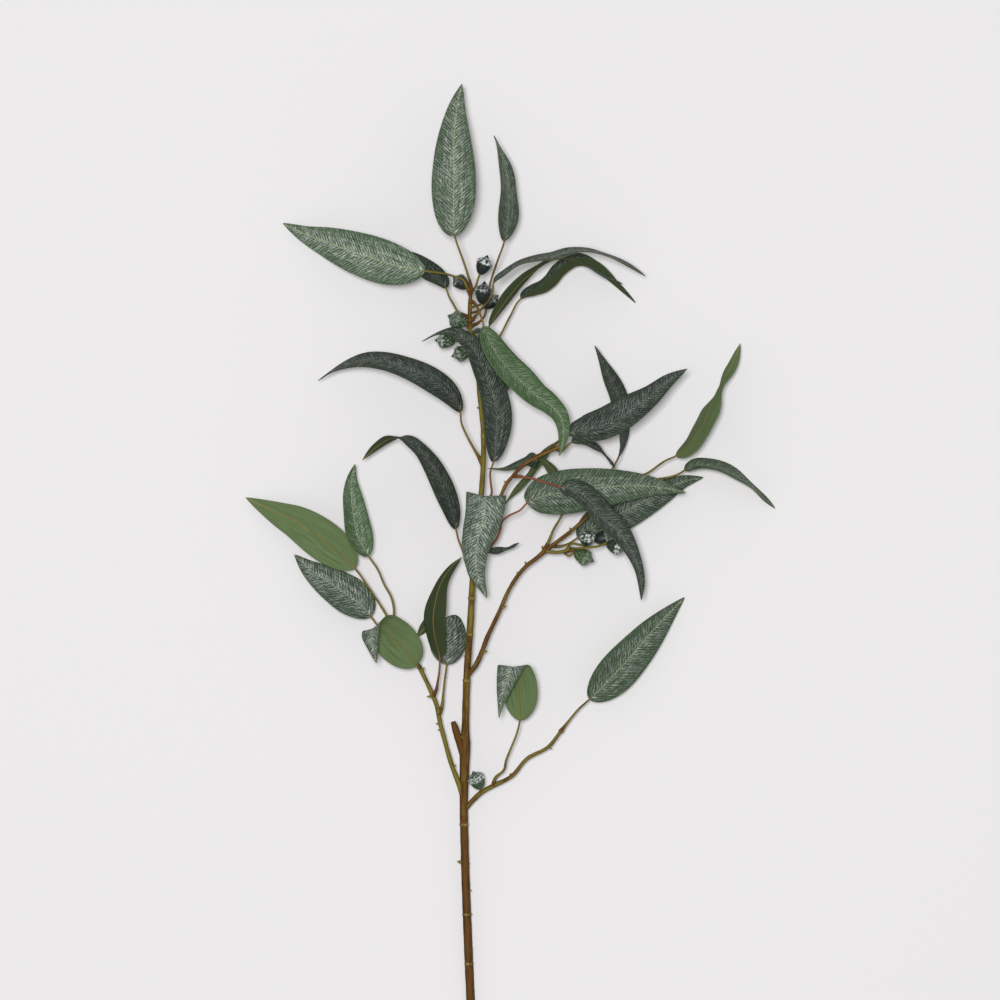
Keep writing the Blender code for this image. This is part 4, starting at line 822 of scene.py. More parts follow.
def blade_tree():
    """Lays a fine grid along a rib: folded, waved at its edges and veined."""
    tree, add, given = new_tree("Leaf blade", [
        ("Stations", "Int"), ("Strips", "Int"), ("Fold", "Float"), ("Wave", "Float"),
        ("Waves", "Float"), ("Vein Spacing", "Float"), ("Vein Height", "Float"),
        ("Groove", "Float"), ("Tone", "Vector"), ("Material", "Material")])
    columns = add("ShaderNodeMath", (given["Stations"], 1.0), operation="ADD")
    rows = add("ShaderNodeMath", (given["Strips"], 1.0), operation="ADD")
    grid = add("GeometryNodeMeshGrid", {
        "Size X": 1.0, "Size Y": 2.0, "Vertices X": columns, "Vertices Y": rows})
    position = add("GeometryNodeInputPosition")
    spot = add("ShaderNodeSeparateXYZ", [position]).outputs
    u = add("ShaderNodeMath", (spot[0], 0.5), operation="ADD")
    v = spot[1]
    reach = add("ShaderNodeMath", [v], operation="ABSOLUTE")
    place_number = add("ShaderNodeMath", (u, given["Stations"]), operation="MULTIPLY")
    station = add("ShaderNodeMath", [place_number], operation="ROUND")

    # What the rib's point at this station says
    rib = {}
    for key, kind in (("side", "FLOAT_VECTOR"), ("face", "FLOAT_VECTOR"),
                      ("half", "FLOAT"), ("along", "FLOAT")):
        value = add("GeometryNodeInputNamedAttribute", {"Name": "rib_" + key}, data_type=kind)
        rib[key] = add("GeometryNodeSampleIndex", {
            "Geometry": given["Geometry"], "Value": value, "Index": station}, data_type=kind)
    place = add("GeometryNodeSampleIndex", {
        "Geometry": given["Geometry"], "Value": position, "Index": station},
        data_type="FLOAT_VECTOR")

    # The fold: both halves rise from a rounded middle
    flat_reach = add("ShaderNodeMath", (v, rib["half"]), operation="MULTIPLY")
    away = add("ShaderNodeMath", [flat_reach], operation="ABSOLUTE")
    shrink = add("ShaderNodeMath", [given["Fold"]], operation="COSINE")
    steep = add("ShaderNodeMath", [given["Fold"]], operation="SINE")
    across = add("ShaderNodeMath", (flat_reach, shrink), operation="MULTIPLY")
    bend = FOLD_ROUNDING * MM
    square = add("ShaderNodeMath", (flat_reach, flat_reach, bend * bend), operation="MULTIPLY_ADD")
    soft = add("ShaderNodeMath", [square], operation="SQRT")
    risen = add("ShaderNodeMath", (soft, bend), operation="SUBTRACT")
    fold = add("ShaderNodeMath", (risen, steep), operation="MULTIPLY")

    # The waves: strongest at the edges
    turn = add("ShaderNodeMath", (u, given["Waves"]), operation="MULTIPLY")
    lag = add("ShaderNodeMath", (v, WAVE_LAG, turn), operation="MULTIPLY_ADD")
    ripple = add("ShaderNodeMath", [lag], operation="SINE")
    edge = add("ShaderNodeMath", (reach, WAVE_POWER), operation="POWER")
    edge_wave = add("ShaderNodeMath", (ripple, edge), operation="MULTIPLY")
    wave = add("ShaderNodeMath", (edge_wave, given["Wave"]), operation="MULTIPLY")

    # The side veins: slanted toward the tip, gone at the edges
    swept = add("ShaderNodeMath", (away, VEIN_SLANT, rib["along"]), operation="MULTIPLY_ADD")
    count = add("ShaderNodeMath", (swept, given["Vein Spacing"]), operation="DIVIDE")
    phase = add("ShaderNodeMath", (count, math.tau), operation="MULTIPLY")
    crest = add("ShaderNodeMath", [phase], operation="COSINE")
    fade = add("ShaderNodeMath", (edge, -1.0, 1.0), operation="MULTIPLY_ADD")
    faded = add("ShaderNodeMath", (crest, fade), operation="MULTIPLY")
    vein = add("ShaderNodeMath", (faded, given["Vein Height"]), operation="MULTIPLY")

    # The groove over the midrib: a bell across the blade
    narrow = add("ShaderNodeMath", (away, GROOVE_WIDTH * MM), operation="DIVIDE")
    narrow_square = add("ShaderNodeMath", (narrow, narrow), operation="MULTIPLY")
    minus = add("ShaderNodeMath", (narrow_square, -1.0), operation="MULTIPLY")
    bell = add("ShaderNodeMath", [minus], operation="EXPONENT")
    groove = add("ShaderNodeMath", (bell, given["Groove"]), operation="MULTIPLY")

    lift = fold
    for operation, part in (("ADD", wave), ("ADD", vein), ("SUBTRACT", groove)):
        lift = add("ShaderNodeMath", (lift, part), operation=operation)
    for way, amount in ((rib["side"], across), (rib["face"], lift)):
        step = add("ShaderNodeVectorMath", {0: way, "Scale": amount}, operation="SCALE")
        place = add("ShaderNodeVectorMath", (place, step), operation="ADD")

    blade_place = add("ShaderNodeCombineXYZ", (rib["along"], flat_reach, v))
    for key, value in (("blade_place", blade_place), ("blade_tone", given["Tone"])):
        grid = add("GeometryNodeStoreNamedAttribute", {
            "Geometry": grid, "Name": key, "Value": value}, data_type="FLOAT_VECTOR")
    laid = add("GeometryNodeSetPosition", {"Geometry": grid, "Position": place})
    merged = add("GeometryNodeMergeByDistance", {"Geometry": laid, "Distance": BLADE_WELD * MM})
    end_tree(add, merged, given["Material"])
    return tree


def rod_tree():
    """Sweeps a circle along a chain of points, as thick as each point says."""
    tree, add, given = new_tree("Round wood", [("Sides", "Int"), ("Material", "Material")])
    says = {key: add("GeometryNodeInputNamedAttribute", {"Name": "rod_" + key}, data_type=kind)
            for key, kind in (("radius", "FLOAT"), ("along", "FLOAT"), ("round", "FLOAT_VECTOR"))}
    rail = add("GeometryNodeMeshToCurve", [given["Geometry"]])
    ring = add("GeometryNodeCurvePrimitiveCircle", {"Resolution": given["Sides"], "Radius": 1.0})
    round_place = add("GeometryNodeStoreNamedAttribute", {
        "Geometry": ring, "Name": "rod_round", "Value": add("GeometryNodeInputPosition")},
        data_type="FLOAT_VECTOR")
    rod = add("GeometryNodeCurveToMesh", {
        "Curve": rail, "Profile Curve": round_place, "Scale": says["radius"], "Fill Caps": True})
    thick = add("ShaderNodeVectorMath", {0: says["round"], "Scale": says["radius"]},
                operation="SCALE")
    lengthwise = add("ShaderNodeCombineXYZ", {"Z": says["along"]})
    rod_place = add("ShaderNodeVectorMath", (thick, lengthwise), operation="ADD")
    marked = add("GeometryNodeStoreNamedAttribute", {
        "Geometry": rod, "Name": "rod_place", "Value": rod_place}, data_type="FLOAT_VECTOR")
    end_tree(add, marked, given["Material"])
    return tree


def bud_tree():
    """Sets a small pointed bud on each point, leaning the way that the point says."""
    tree, add, given = new_tree("Buds", [("Material", "Material")])
    ball = add("GeometryNodeMeshUVSphere", {
        "Segments": BUD_SEGMENTS, "Rings": BUD_RINGS, "Radius": 1.0})
    position = add("GeometryNodeInputPosition")
    spot = add("ShaderNodeSeparateXYZ", [position]).outputs
    taper = add("ShaderNodeMath", (spot[2], BUD_TAPER, BUD_WAIST), operation="MULTIPLY_ADD")
    thin = add("ShaderNodeCombineXYZ", (
        add("ShaderNodeMath", (spot[0], taper), operation="MULTIPLY"),
        add("ShaderNodeMath", (spot[1], taper), operation="MULTIPLY"),
        add("ShaderNodeMath", (spot[2], 1.0), operation="ADD")))
    pointed = add("GeometryNodeSetPosition", {"Geometry": ball, "Position": thin})
    bark_place = add("ShaderNodeVectorMath", {0: position, "Scale": BUD_BARK_SIZE * MM},
                     operation="SCALE")
    shaped = add("GeometryNodeStoreNamedAttribute", {
        "Geometry": pointed, "Name": "rod_place", "Value": bark_place}, data_type="FLOAT_VECTOR")
    says = {key: add("GeometryNodeInputNamedAttribute", {"Name": "bud_" + key},
                     data_type="FLOAT_VECTOR") for key in ("lean", "size")}
    turn = add("FunctionNodeAlignRotationToVector", {"Vector": says["lean"]}, axis="Z")
    placed = add("GeometryNodeInstanceOnPoints", {
        "Points": given["Geometry"], "Instance": shaped, "Rotation": turn, "Scale": says["size"]})
    end_tree(add, placed, given["Material"])
    return tree


def gumnut_tree():
    """Turns a nut from its outline and raises ribs that end in knobs at its rim."""
    tree, add, given = new_tree("Gumnut", [
        ("Sides", "Int"), ("Rows", "Int"), ("Ribs", "Float"), ("Rib Height", "Float"),
        ("Tone", "Vector"), ("Material", "Material")])
    columns = add("ShaderNodeMath", (given["Sides"], 1.0), operation="ADD")
    grid = add("GeometryNodeMeshGrid", {
        "Size X": math.tau, "Size Y": 1.0, "Vertices X": columns, "Vertices Y": given["Rows"]})
    position = add("GeometryNodeInputPosition")
    spot = add("ShaderNodeSeparateXYZ", [position]).outputs
    last = add("ShaderNodeMath", (given["Rows"], 1.0), operation="SUBTRACT")
    share = add("ShaderNodeMath", (spot[1], 0.5), operation="ADD")
    height_number = add("ShaderNodeMath", (share, last), operation="MULTIPLY")
    row = add("ShaderNodeMath", [height_number], operation="ROUND")

    # What the outline's point in this row says
    outline = {}
    for key in ("radius", "height", "rib"):
        value = add("GeometryNodeInputNamedAttribute", {"Name": "nut_" + key}, data_type="FLOAT")
        outline[key] = add("GeometryNodeSampleIndex", {
            "Geometry": given["Geometry"], "Value": value, "Index": row}, data_type="FLOAT")

    # Ribs: sharp crests round the nut, as strong as the row says
    turns = add("ShaderNodeMath", (spot[0], given["Ribs"]), operation="MULTIPLY")
    swing = add("ShaderNodeMath", [turns], operation="COSINE")
    lifted = add("ShaderNodeMath", (swing, 0.5, 0.5), operation="MULTIPLY_ADD")
    sharp = add("ShaderNodeMath", (lifted, NUT_RIB_SHARPNESS), operation="POWER")
    ridge = add("ShaderNodeMath", (sharp, outline["rib"]), operation="MULTIPLY")
    swell = add("ShaderNodeMath", (ridge, given["Rib Height"], 1.0), operation="MULTIPLY_ADD")
    wide = add("ShaderNodeMath", (outline["radius"], swell), operation="MULTIPLY")
    sides = []
    for operation in ("COSINE", "SINE"):
        way = add("ShaderNodeMath", [spot[0]], operation=operation)
        sides.append(add("ShaderNodeMath", (wide, way), operation="MULTIPLY"))
    frost = add("ShaderNodeMath", (sharp, NUT_CREST_FROST, 1 - NUT_CREST_FROST),
                operation="MULTIPLY_ADD")
    frosted = add("ShaderNodeMath", (frost, outline["rib"]), operation="MULTIPLY")
    marked = add("GeometryNodeStoreNamedAttribute", {
        "Geometry": grid, "Name": "nut_ridge", "Value": frosted}, data_type="FLOAT")
    turned = add("GeometryNodeSetPosition", {
        "Geometry": marked, "Position": add("ShaderNodeCombineXYZ", (*sides, outline["height"]))})
    nut_place = add("ShaderNodeVectorMath", (position, given["Tone"]), operation="ADD")
    for key, value in (("nut_place", nut_place), ("nut_tone", given["Tone"])):
        turned = add("GeometryNodeStoreNamedAttribute", {
            "Geometry": turned, "Name": key, "Value": value}, data_type="FLOAT_VECTOR")
    closed = add("GeometryNodeMergeByDistance", {"Geometry": turned, "Distance": NUT_WELD * MM})
    end_tree(add, closed, given["Material"])
    return tree


def new_material(name):
    """An empty material, and add_node bound to its tree."""
    material = bpy.data.materials.new(name)
    material.use_nodes = True
    material.node_tree.nodes.clear()
    return material, functools.partial(add_node, material.node_tree)


def read_blade(add):
    """What both skins of a leaf read: its place, tones and way along the side veins."""
    place = add("ShaderNodeAttribute", attribute_name="blade_place").outputs["Vector"]
    tone = add("ShaderNodeAttribute", attribute_name="blade_tone").outputs["Vector"]
    spot = add("ShaderNodeSeparateXYZ", [place]).outputs
    tones = add("ShaderNodeSeparateXYZ", [tone]).outputs
    away = add("ShaderNodeMath", [spot[1]], operation="ABSOLUTE")
    swept = add("ShaderNodeMath", (away, VEIN_SLANT, spot[0]), operation="MULTIPLY_ADD")
    return place, spot, tones, away, swept


def vein_lines(add, count, sharpness):
    """Lines where the count of veins is a whole number."""
    phase = add("ShaderNodeMath", (count, math.tau), operation="MULTIPLY")
    crest = add("ShaderNodeMath", [phase], operation="COSINE")
    lifted = add("ShaderNodeMath", (crest, 0.5, 0.5), operation="MULTIPLY_ADD")
    return add("ShaderNodeMath", (lifted, sharpness), operation="POWER")


def finish(add, tint, coats, surface, height=None, strength=0.0, depth=0.0):
    """Ends a material: coats of colour over a tint, a bump in millimetres and the shader."""
    for share, coat in coats:
        tint = add("ShaderNodeMix", {0: share, 6: tint, 7: coat}, data_type="RGBA").outputs[2]
    inputs = {"Base Color": tint, **surface}
    if height is not None:
        inputs["Normal"] = add("ShaderNodeBump", {
            "Height": height, "Strength": strength, "Distance": depth * MM})
    shader = add("ShaderNodeBsdfPrincipled", inputs)
    add("ShaderNodeOutputMaterial", {"Surface": shader})


def leaf_upper(settings):
    """Waxy leaf skin: dark green, with silvery hairs combed along its side veins."""
    material, add = new_material("waxy_leaf_upper_skin")
    place, spot, tones, away, swept = read_blade(add)
    reach = add("ShaderNodeMath", [spot[2]], operation="ABSOLUTE")

    # Breaks in the veins, specks of wax, and cloudy patches where the skin is barer
    patterns = {}
    for key, size, detail, low, high, least, most in (
            ("gap", VEIN_GAP, 2.0, 0.4, 0.6, 0.0, 1.0),
            ("speck", WAX_SPECK, 2.0, 0.54, 0.66, 0.0, 0.5),
            ("cloud", BARE_PATCH, 3.0, 0.32, 0.68, 0.2, 1.35)):
        noise = add("ShaderNodeTexNoise", {
            "Vector": place, "Scale": 1 / (size * MM), "Detail": detail})
        patterns[key] = add("ShaderNodeMapRange", {
            "Value": noise, "From Min": low, "From Max": high, "To Min": least, "To Max": most})

    # Side veins: thin wavering lines, one each few millimetres
    count = add("ShaderNodeMath", (swept, settings.vein_spacing), operation="DIVIDE")
    waver = add("ShaderNodeTexNoise", {
        "Vector": place, "Scale": 1 / (VEIN_WAVER * MM), "Detail": 2.0})
    wavered = add("ShaderNodeMath", (waver, VEIN_WANDER, count), operation="MULTIPLY_ADD")
    veins = vein_lines(add, wavered, sharpness=4.0)
    broken = add("ShaderNodeMath", (veins, patterns["gap"]), operation="MULTIPLY")

    # Hairs: noise drawn out along the veins, different on the two halves
    half = add("ShaderNodeMath", [spot[1]], operation="SIGN")
    comb = add("ShaderNodeCombineXYZ", [
        add("ShaderNodeMath", (value, scale), operation="MULTIPLY")
        for value, scale in ((swept, 1 / (HAIR_SPACING * MM)), (away, 1 / (HAIR_LENGTH * MM)),
                             (half, HALVES_APART))])
    hair_noise = add("ShaderNodeTexNoise", {
        "Vector": comb, "Scale": 1.0, "Detail": 5.0, "Roughness": 0.75})
    hairs = add("ShaderNodeMapRange", {"Value": hair_noise, "From Min": 0.53, "From Max": 0.585})

    # How silver the skin is: more by the midrib, and as the leaf's tone says
    middle = add("ShaderNodeMapRange", {"Value": reach, "To Min": 1.05, "To Max": 0.35})
    lines = add("ShaderNodeMath", (broken, VEIN_SILVER, hairs), operation="MULTIPLY_ADD")
    both = add("ShaderNodeMath", (lines, patterns["speck"]), operation="ADD")
    silver = add("ShaderNodeMath", (both, SILVER_VEIL), operation="ADD")
    for share in (patterns["cloud"], middle, tones[1]):
        silver = add("ShaderNodeMath", (silver, share), operation="MULTIPLY")

    edge = add("ShaderNodeMapRange", {"Value": reach, "From Min": 0.6, "To Max": 0.2})
    rib = add("ShaderNodeMapRange", {
        "Value": away, "From Min": 0.2 * MM, "From Max": 0.5 * MM, "To Min": 1.0, "To Max": 0.0})
    drawn = add("ShaderNodeMath", (tones[0], -MIDRIB_LOSS, MIDRIB_PALENESS), operation="MULTIPLY_ADD")
    rib_line = add("ShaderNodeMath", (rib, drawn), operation="MULTIPLY")
    coats = [(tones[2], settings.fresh_green), (tones[0], settings.shade_green),
             (edge, settings.fresh_green), (silver, settings.silver), (rib_line, settings.midrib)]
    finish(add, settings.deep_green, coats, {"Roughness": 0.6, "Specular IOR Level": 0.12},
           height=both, strength=0.35, depth=0.3)
    return material


def leaf_under(settings):
    """Matt, pale under side with faint side veins and a warm midrib."""
    material, add = new_material("matt_leaf_under_skin")
    place, _, tones, away, swept = read_blade(add)
    count = add("ShaderNodeMath", (swept, settings.vein_spacing), operation="DIVIDE")
    veins = vein_lines(add, count, sharpness=5.0)
    parts = []
    for size, detail, weight in ((UNDER_GRAIN, 3.0, 0.3), (UNDER_PATCH, 2.0, 0.7)):
        noise = add("ShaderNodeTexNoise", {
            "Vector": place, "Scale": 1 / (size * MM), "Detail": detail})
        parts.append(add("ShaderNodeMath", (noise, weight), operation="MULTIPLY"))
    mottled = add("ShaderNodeMath", parts, operation="ADD")
    mixed = add("ShaderNodeMapRange", {"Value": mottled, "From Min": 0.38, "From Max": 0.62})
    faint = add("ShaderNodeMath", (veins, UNDER_VEIN_PALENESS), operation="MULTIPLY")
    rib = add("ShaderNodeMapRange", {
        "Value": away, "From Min": 0.4 * MM, "From Max": 0.8 * MM, "To Min": 0.7, "To Max": 0.0})
    coats = [(mixed, settings.under_pale), (tones[0], settings.under_dark),
             (faint, settings.midrib), (rib, settings.under_rib)]
    finish(add, settings.under_green, coats, {"Roughness": 0.75, "Specular IOR Level": 0.1},
           height=veins, strength=0.3, depth=0.2)
    return material


def green_wood(settings):
    """Young bark: olive to brown by the rod's tone, streaked along its length."""
    material, add = new_material("young_olive_bark")
    place = add("ShaderNodeAttribute", attribute_name="rod_place").outputs["Vector"]
    tone = add("ShaderNodeAttribute", attribute_name="rod_tone").outputs["Vector"]
    tones = add("ShaderNodeSeparateXYZ", [tone]).outputs
    noises = []
    parts = []
    for size, noise_inputs, weight in (
            (BARK_STREAK, {"Detail": 4.0, "Roughness": 0.6}, 0.55),
            (BARK_PATCH, {"Detail": 2.0}, 0.6)):
        drawn_out = add("ShaderNodeMapping", {
            "Vector": place, "Scale": [1 / (side * MM) for side in size]})
        noises.append(add("ShaderNodeTexNoise", {
            "Vector": drawn_out, "Scale": 1.0, **noise_inputs}))
        parts.append(add("ShaderNodeMath", (noises[-1], weight), operation="MULTIPLY"))
    both = add("ShaderNodeMath", parts, operation="ADD")
    centred = add("ShaderNodeMath", (tones[0], 0.5), operation="SUBTRACT")
    shifted = add("ShaderNodeMath", (both, centred), operation="ADD")
    brown = add("ShaderNodeMapRange", {"Value": shifted, "From Min": 0.48, "From Max": 0.66})

    # Painted shade darkens round wood where it turns away from the view; its fine cracks are darker
    # bark of their own
    away = add("ShaderNodeLayerWeight", {"Blend": 0.5})
    turned = add("ShaderNodeMath", (away.outputs["Facing"], TURNED_POWER), operation="POWER")
    cracks = add("ShaderNodeMapRange", {
        "Value": noises[0], "From Min": 0.52, "From Max": 0.66, "To Max": 0.6})
    painted_shade_and_cracks = add("ShaderNodeMath", (turned, TURNED_SHADE, cracks),
                operation="MULTIPLY_ADD", use_clamp=True)
    # The last coat is painted shade at the turned-away sides together with the dark cracks
    coats = [(brown, settings.brown), (tones[1], settings.red), (tones[2], settings.pale_ring),
             (painted_shade_and_cracks, settings.shadow)]
    finish(add, settings.olive, coats, {"Roughness": 0.65, "Specular IOR Level": 0.15},
           height=both, strength=0.5, depth=0.4)
    return material


def cut_wood(settings):
    """Sawn end grain: pale wood with fine rings round the pith."""
    material, add = new_material("sawn_end_grain")
    place = add("ShaderNodeAttribute", attribute_name="rod_place").outputs["Vector"]
    flat = add("ShaderNodeMapping", {"Vector": place, "Scale": (1.0, 1.0, 0.0)})
    radius = add("ShaderNodeVectorMath", [flat], operation="LENGTH").outputs["Value"]
    turns = add("ShaderNodeMath", (radius, math.tau / (END_RING * MM)), operation="MULTIPLY")
    rings = add("ShaderNodeMath", [turns], operation="SINE")
    share = add("ShaderNodeMapRange", {"Value": rings, "From Min": -1.0})
    finish(add, settings.cut_pale, [(share, settings.cut_dark)], {"Roughness": 0.8})
    return material


def gumnut_skin(settings):
    """Gumnut: dark green and slightly waxy, with frosted ribs and pale specks."""
    material, add = new_material("waxy_gumnut_skin")
    place = add("ShaderNodeAttribute", attribute_name="nut_place").outputs["Vector"]
    tone = add("ShaderNodeAttribute", attribute_name="nut_tone").outputs["Vector"]
    ridge = add("ShaderNodeAttribute", attribute_name="nut_ridge").outputs["Fac"]
    tones = add("ShaderNodeSeparateXYZ", [tone]).outputs
    noise = add("ShaderNodeTexNoise", {
        "Vector": place, "Scale": 1 / (NUT_MOTTLE * MM), "Detail": 3.0, "Roughness": 0.6})
    specks = add("ShaderNodeTexVoronoi", {"Vector": place, "Scale": 1 / (NUT_SPECK * MM)})
    dots = add("ShaderNodeMapRange", {
        "Value": specks.outputs["Distance"], "From Min": 0.15, "From Max": 0.4,
        "To Min": 0.7, "To Max": 0.0})
    dotted = add("ShaderNodeMath", (dots, tones[1]), operation="MULTIPLY")
    worn = add("ShaderNodeMapRange", {"Value": noise, "From Min": 0.42, "From Max": 0.54})
    crests = add("ShaderNodeMapRange", {"Value": ridge, "From Min": 0.1, "From Max": 0.4})
    frost = add("ShaderNodeMath", (crests, worn), operation="MULTIPLY")
    frosted = add("ShaderNodeMath", (frost, tones[0]), operation="MULTIPLY")
    total = add("ShaderNodeMath", (frosted, dotted), operation="MAXIMUM", use_clamp=True)
    mottling = add("ShaderNodeMath", (noise, NUT_MOTTLING), operation="MULTIPLY")
    coats = [(tones[2], settings.nut_green), (mottling, settings.nut_deep),
             (total, settings.nut_frost)]
    finish(add, settings.nut_dark, coats, {"Roughness": 0.5, "Specular IOR Level": 0.35},
           height=noise, strength=0.4, depth=0.5)
    return material


def studio_paper(settings):
    """Matt paper that the branch lies on."""
    material, add = new_material("pale_studio_paper")
    noise = add("ShaderNodeTexNoise", {
        "Vector": add("ShaderNodeTexCoord").outputs["Object"],
        "Scale": 1 / (PAPER_GRAIN * MM), "Detail": 2.0})
    finish(add, settings.paper, [], {"Roughness": 0.9, "Specular IOR Level": 0.1},
           height=noise, strength=0.05, depth=0.3)
    return material


def rod(name, points, radii, tones, start, tree, sides, material):
    """A round stick through points; radii in millimetres, tones for its bark."""
    along = [start * MM]
    for before, after in zip(points, points[1:]):
        along.append(along[-1] + (Vector(after) - Vector(before)).length * MM)
    item = line_mesh(name, points, {
        "rod_radius": [radius * MM for radius in radii],
        "rod_along": along,
        "rod_tone": tones,
    })
    return run_tree(item, tree, {"Sides": sides, "Material": material})


def blade_half_width(leaf, u):
    """Lance outline: full below the middle, drawn out to a long point."""
    peak = leaf.get("peak", BLADE_PEAK)
    outline = max(math.sin(math.pi * min(u, 1.0) ** (math.log(0.5) / math.log(peak))), 0.0)
    power = BASE_TAPER if u < peak else TIP_TAPER
    return leaf["width"] / 2 * outline ** power + (1 - u) ** BASE_FADE


def rib_frames(route, start, leaf, count):
    """Points, side and face directions along the rib, carried without spin."""
    heading = route.heading(start)
    face = Vector((0, 0, 1))
    face = (face - heading * face.dot(heading)).normalized()
    frames = []
    for step in range(count + 1):
        u = step / count
        distance = start + (route.length - start) * u
        next_heading = route.heading(distance)
        face = heading.rotation_difference(next_heading) @ face
        face = (face - next_heading * face.dot(next_heading)).normalized()
        heading = next_heading
        rolled = Quaternion(heading, math.radians(spread(leaf["roll"], u))) @ face
        frames.append((route.at(distance), rolled.cross(heading).normalized(), rolled))
    return frames


def thicken(item, wall, under):
    """Gives a blade its wall; the under side takes the second material."""
    item.data.materials.append(under)
    shell = item.modifiers.new("Wall", "SOLIDIFY")
    shell.thickness = wall
    shell.offset = 0.0
    shell.material_offset = 1
    shell.material_offset_rim = 1
    keep_result(item)


def grow_blade(leaf, route, base, settings, tree, upper, under):
    """The blade, with its rib's frames for the midrib that runs under it."""
    frames = rib_frames(route, base, leaf, settings.stations)
    span = (route.length - base) / settings.stations
    item = line_mesh(leaf["name"] + "_rib", [place for place, _, _ in frames], {
        "rib_side": [tuple(side) for _, side, _ in frames],
        "rib_face": [tuple(face) for _, _, face in frames],
        "rib_half": [blade_half_width(leaf, step / settings.stations) * MM
                     for step in range(len(frames))],
        "rib_along": [step * span * MM for step in range(len(frames))],
    })
    run_tree(item, tree, {
        "Stations": settings.stations, "Strips": settings.strips,
        "Fold": math.radians(leaf["fold"]), "Wave": settings.wave, "Waves": settings.waves,
        "Vein Spacing": settings.vein_spacing, "Vein Height": settings.vein_height,
        "Groove": settings.groove, "Tone": leaf["tone"], "Material": upper})
    thicken(item, settings.blade_wall, under)
    return item, frames


def grow_leaf(leaf, number, line, settings, wood, trees, skins):
    """One leaf: blade, stalk and the raised midrib under the blade."""
    route = Route(leaf["stalk"] + leaf["rib"])
    base = route.distance_of(len(leaf["stalk"]))
    blade, frames = grow_blade(leaf, route, base, settings, trees["blade"], *skins[:2])
    start = max(spur_length(line, route, wood.foot_radius / MM) - STALK_SINK, 0.0)
    steps = max(STALK_LEAST_STEPS, round((base - start) / STALK_STEP))
    brown, red = leaf["stalk_tone"]
    points = []
    radii = []
    tones = []
    for step in range(steps + 1):
        distance = start + (base - start) * step / steps
        foot = math.exp(-((distance - start) / FOOT_FADE) ** 2)
        points.append(route.at(distance))
        radii.append((wood.stalk_radius * (1 - STALK_TAPER * step / steps)
                      + (wood.foot_radius - wood.stalk_radius) * foot) / MM)
        tones.append((brown + FOOT_BROWN * foot, red * (1 - FOOT_PALE * foot), 0.0))
    last = radii[-1]
    for count, (place, _, face) in enumerate(frames[2::RIB_STRIDE], 1):
        share = min(1.0, count * RIB_STRIDE / len(frames))
        sink = min(1.0, count / RIB_SINK_STEPS)
        points.append(place - face * (RIB_DEPTH * sink + RIB_CLEARANCE))
        radii.append(last * (1 - share) * RIB_THICKNESS + RIB_TIP_RADIUS)
        tones.append((brown * (1 - share) ** RIB_BROWN_FADE, red * (1 - share) ** RIB_RED_FADE, 0.0))
    stalk = rod(leaf["name"] + "_stalk", points, radii, tones, STALK_BARK_SHIFT * number,
                trees["rod"], STALK_SIDES, skins[2])
    return join("grown_" + leaf["name"], [blade, stalk])


def ring_bell(distance, rings):
    """Extra radius and paleness of the rings that circle the stem."""
    height = 0.0
    pale = 0.0
    for place, rise in rings:
        bell = math.exp(-((distance - place) / RING_WIDTH) ** RING_SQUARENESS)
        height += rise * bell
        pale = max(pale, bell * RING_PALENESS)
    return height, pale


def grow_rod(name, table, rings, tones, number, trees, sides, bark):
    """A stem or branch from its table, a knot each few millimetres and more at its rings."""
    route = Route([row[:3] for row in table])
    stops = [route.distance_of(index) for index in range(len(table))]
    radii_at_stops = [row[3] for row in table]
    distances = list(np.arange(0.0, route.length, WOOD_STEP)) + [route.length]
    for place, _ in rings:
        distances = [value for value in distances if abs(value - place) > WOOD_STEP]
        distances += [place + step * RING_STEP for step in range(-RING_STEPS, RING_STEPS + 1)]
    distances = sorted(value for value in distances if 0.0 <= value <= route.length)
    points = []
    radii = []
    rod_tones = []
    for distance in distances:
        height, pale = ring_bell(distance, rings)
        uneven = sum(rise * math.sin(distance * pace + number * shift)
                     for rise, pace, shift in WOOD_SWELLS)
        share = distance / route.length
        points.append(route.at(distance))
        radii.append(float(np.interp(distance, stops, radii_at_stops)) + height + uneven)
        rod_tones.append((spread([tone[0] for tone in tones], share),
                          spread([tone[1] for tone in tones], share), pale))
    return rod(name, points, radii, rod_tones, WOOD_BARK_SHIFT * number, trees["rod"], sides,
               bark)


def grow_spurs(wood_name, line, wood, trees, bark):
    """The thickened feet on one piece of wood that its stalks grow from."""
    spurs = []
    rows = [(leaf, Route(leaf["stalk"] + leaf["rib"]), wood.foot_radius / MM)
            for leaf in LEAVES if leaf["wood"] == wood_name]
    rows += [(nut, gumnut_route(nut), wood.nut_stalk_radius / MM)
             for nut in GUMNUTS if nut["wood"] == wood_name]
    for number, (row, route, radius) in enumerate(rows):
        foot = spur_length(line, route, radius)
        spurs.append(rod(
            row["name"] + "_spur", [route.at(foot * share) for share, _, _ in SPUR_SHAPE],
            [radius * swelling for _, swelling, _ in SPUR_SHAPE],
            [tone for _, _, tone in SPUR_SHAPE], SPUR_BARK_SHIFT * number, trees["rod"],
            SPUR_SIDES, bark))
    return spurs


def grow_buds(name, rows, trees, bark):
    """The buds on one piece of wood, each a point with its lean and size."""
    item = line_mesh(name, [root for root, _, _, _ in rows], {
        "bud_lean": [tuple(Vector(lean).normalized()) for _, lean, _, _ in rows],
        "bud_size": [(radius * BUD_FATNESS * MM, radius * BUD_FATNESS * MM, size / 2 * MM)
                     for _, _, size, radius in rows],
        "rod_tone": [BUD_TONE] * len(rows),
    })
    return run_tree(item, trees["bud"], {"Material": bark})


def gumnut_route(nut):
    """From the wood, through the stalk's points, into the nut's foot."""
    radius = GUMNUT_RADIUS * nut["size"]
    point = Vector(nut["point"]).normalized()
    heart = Vector(nut["heart"])
    return Route([*nut["stalk"], heart - point * radius * NUT_FOOT,
                  heart - point * radius * NUT_STALK_END])


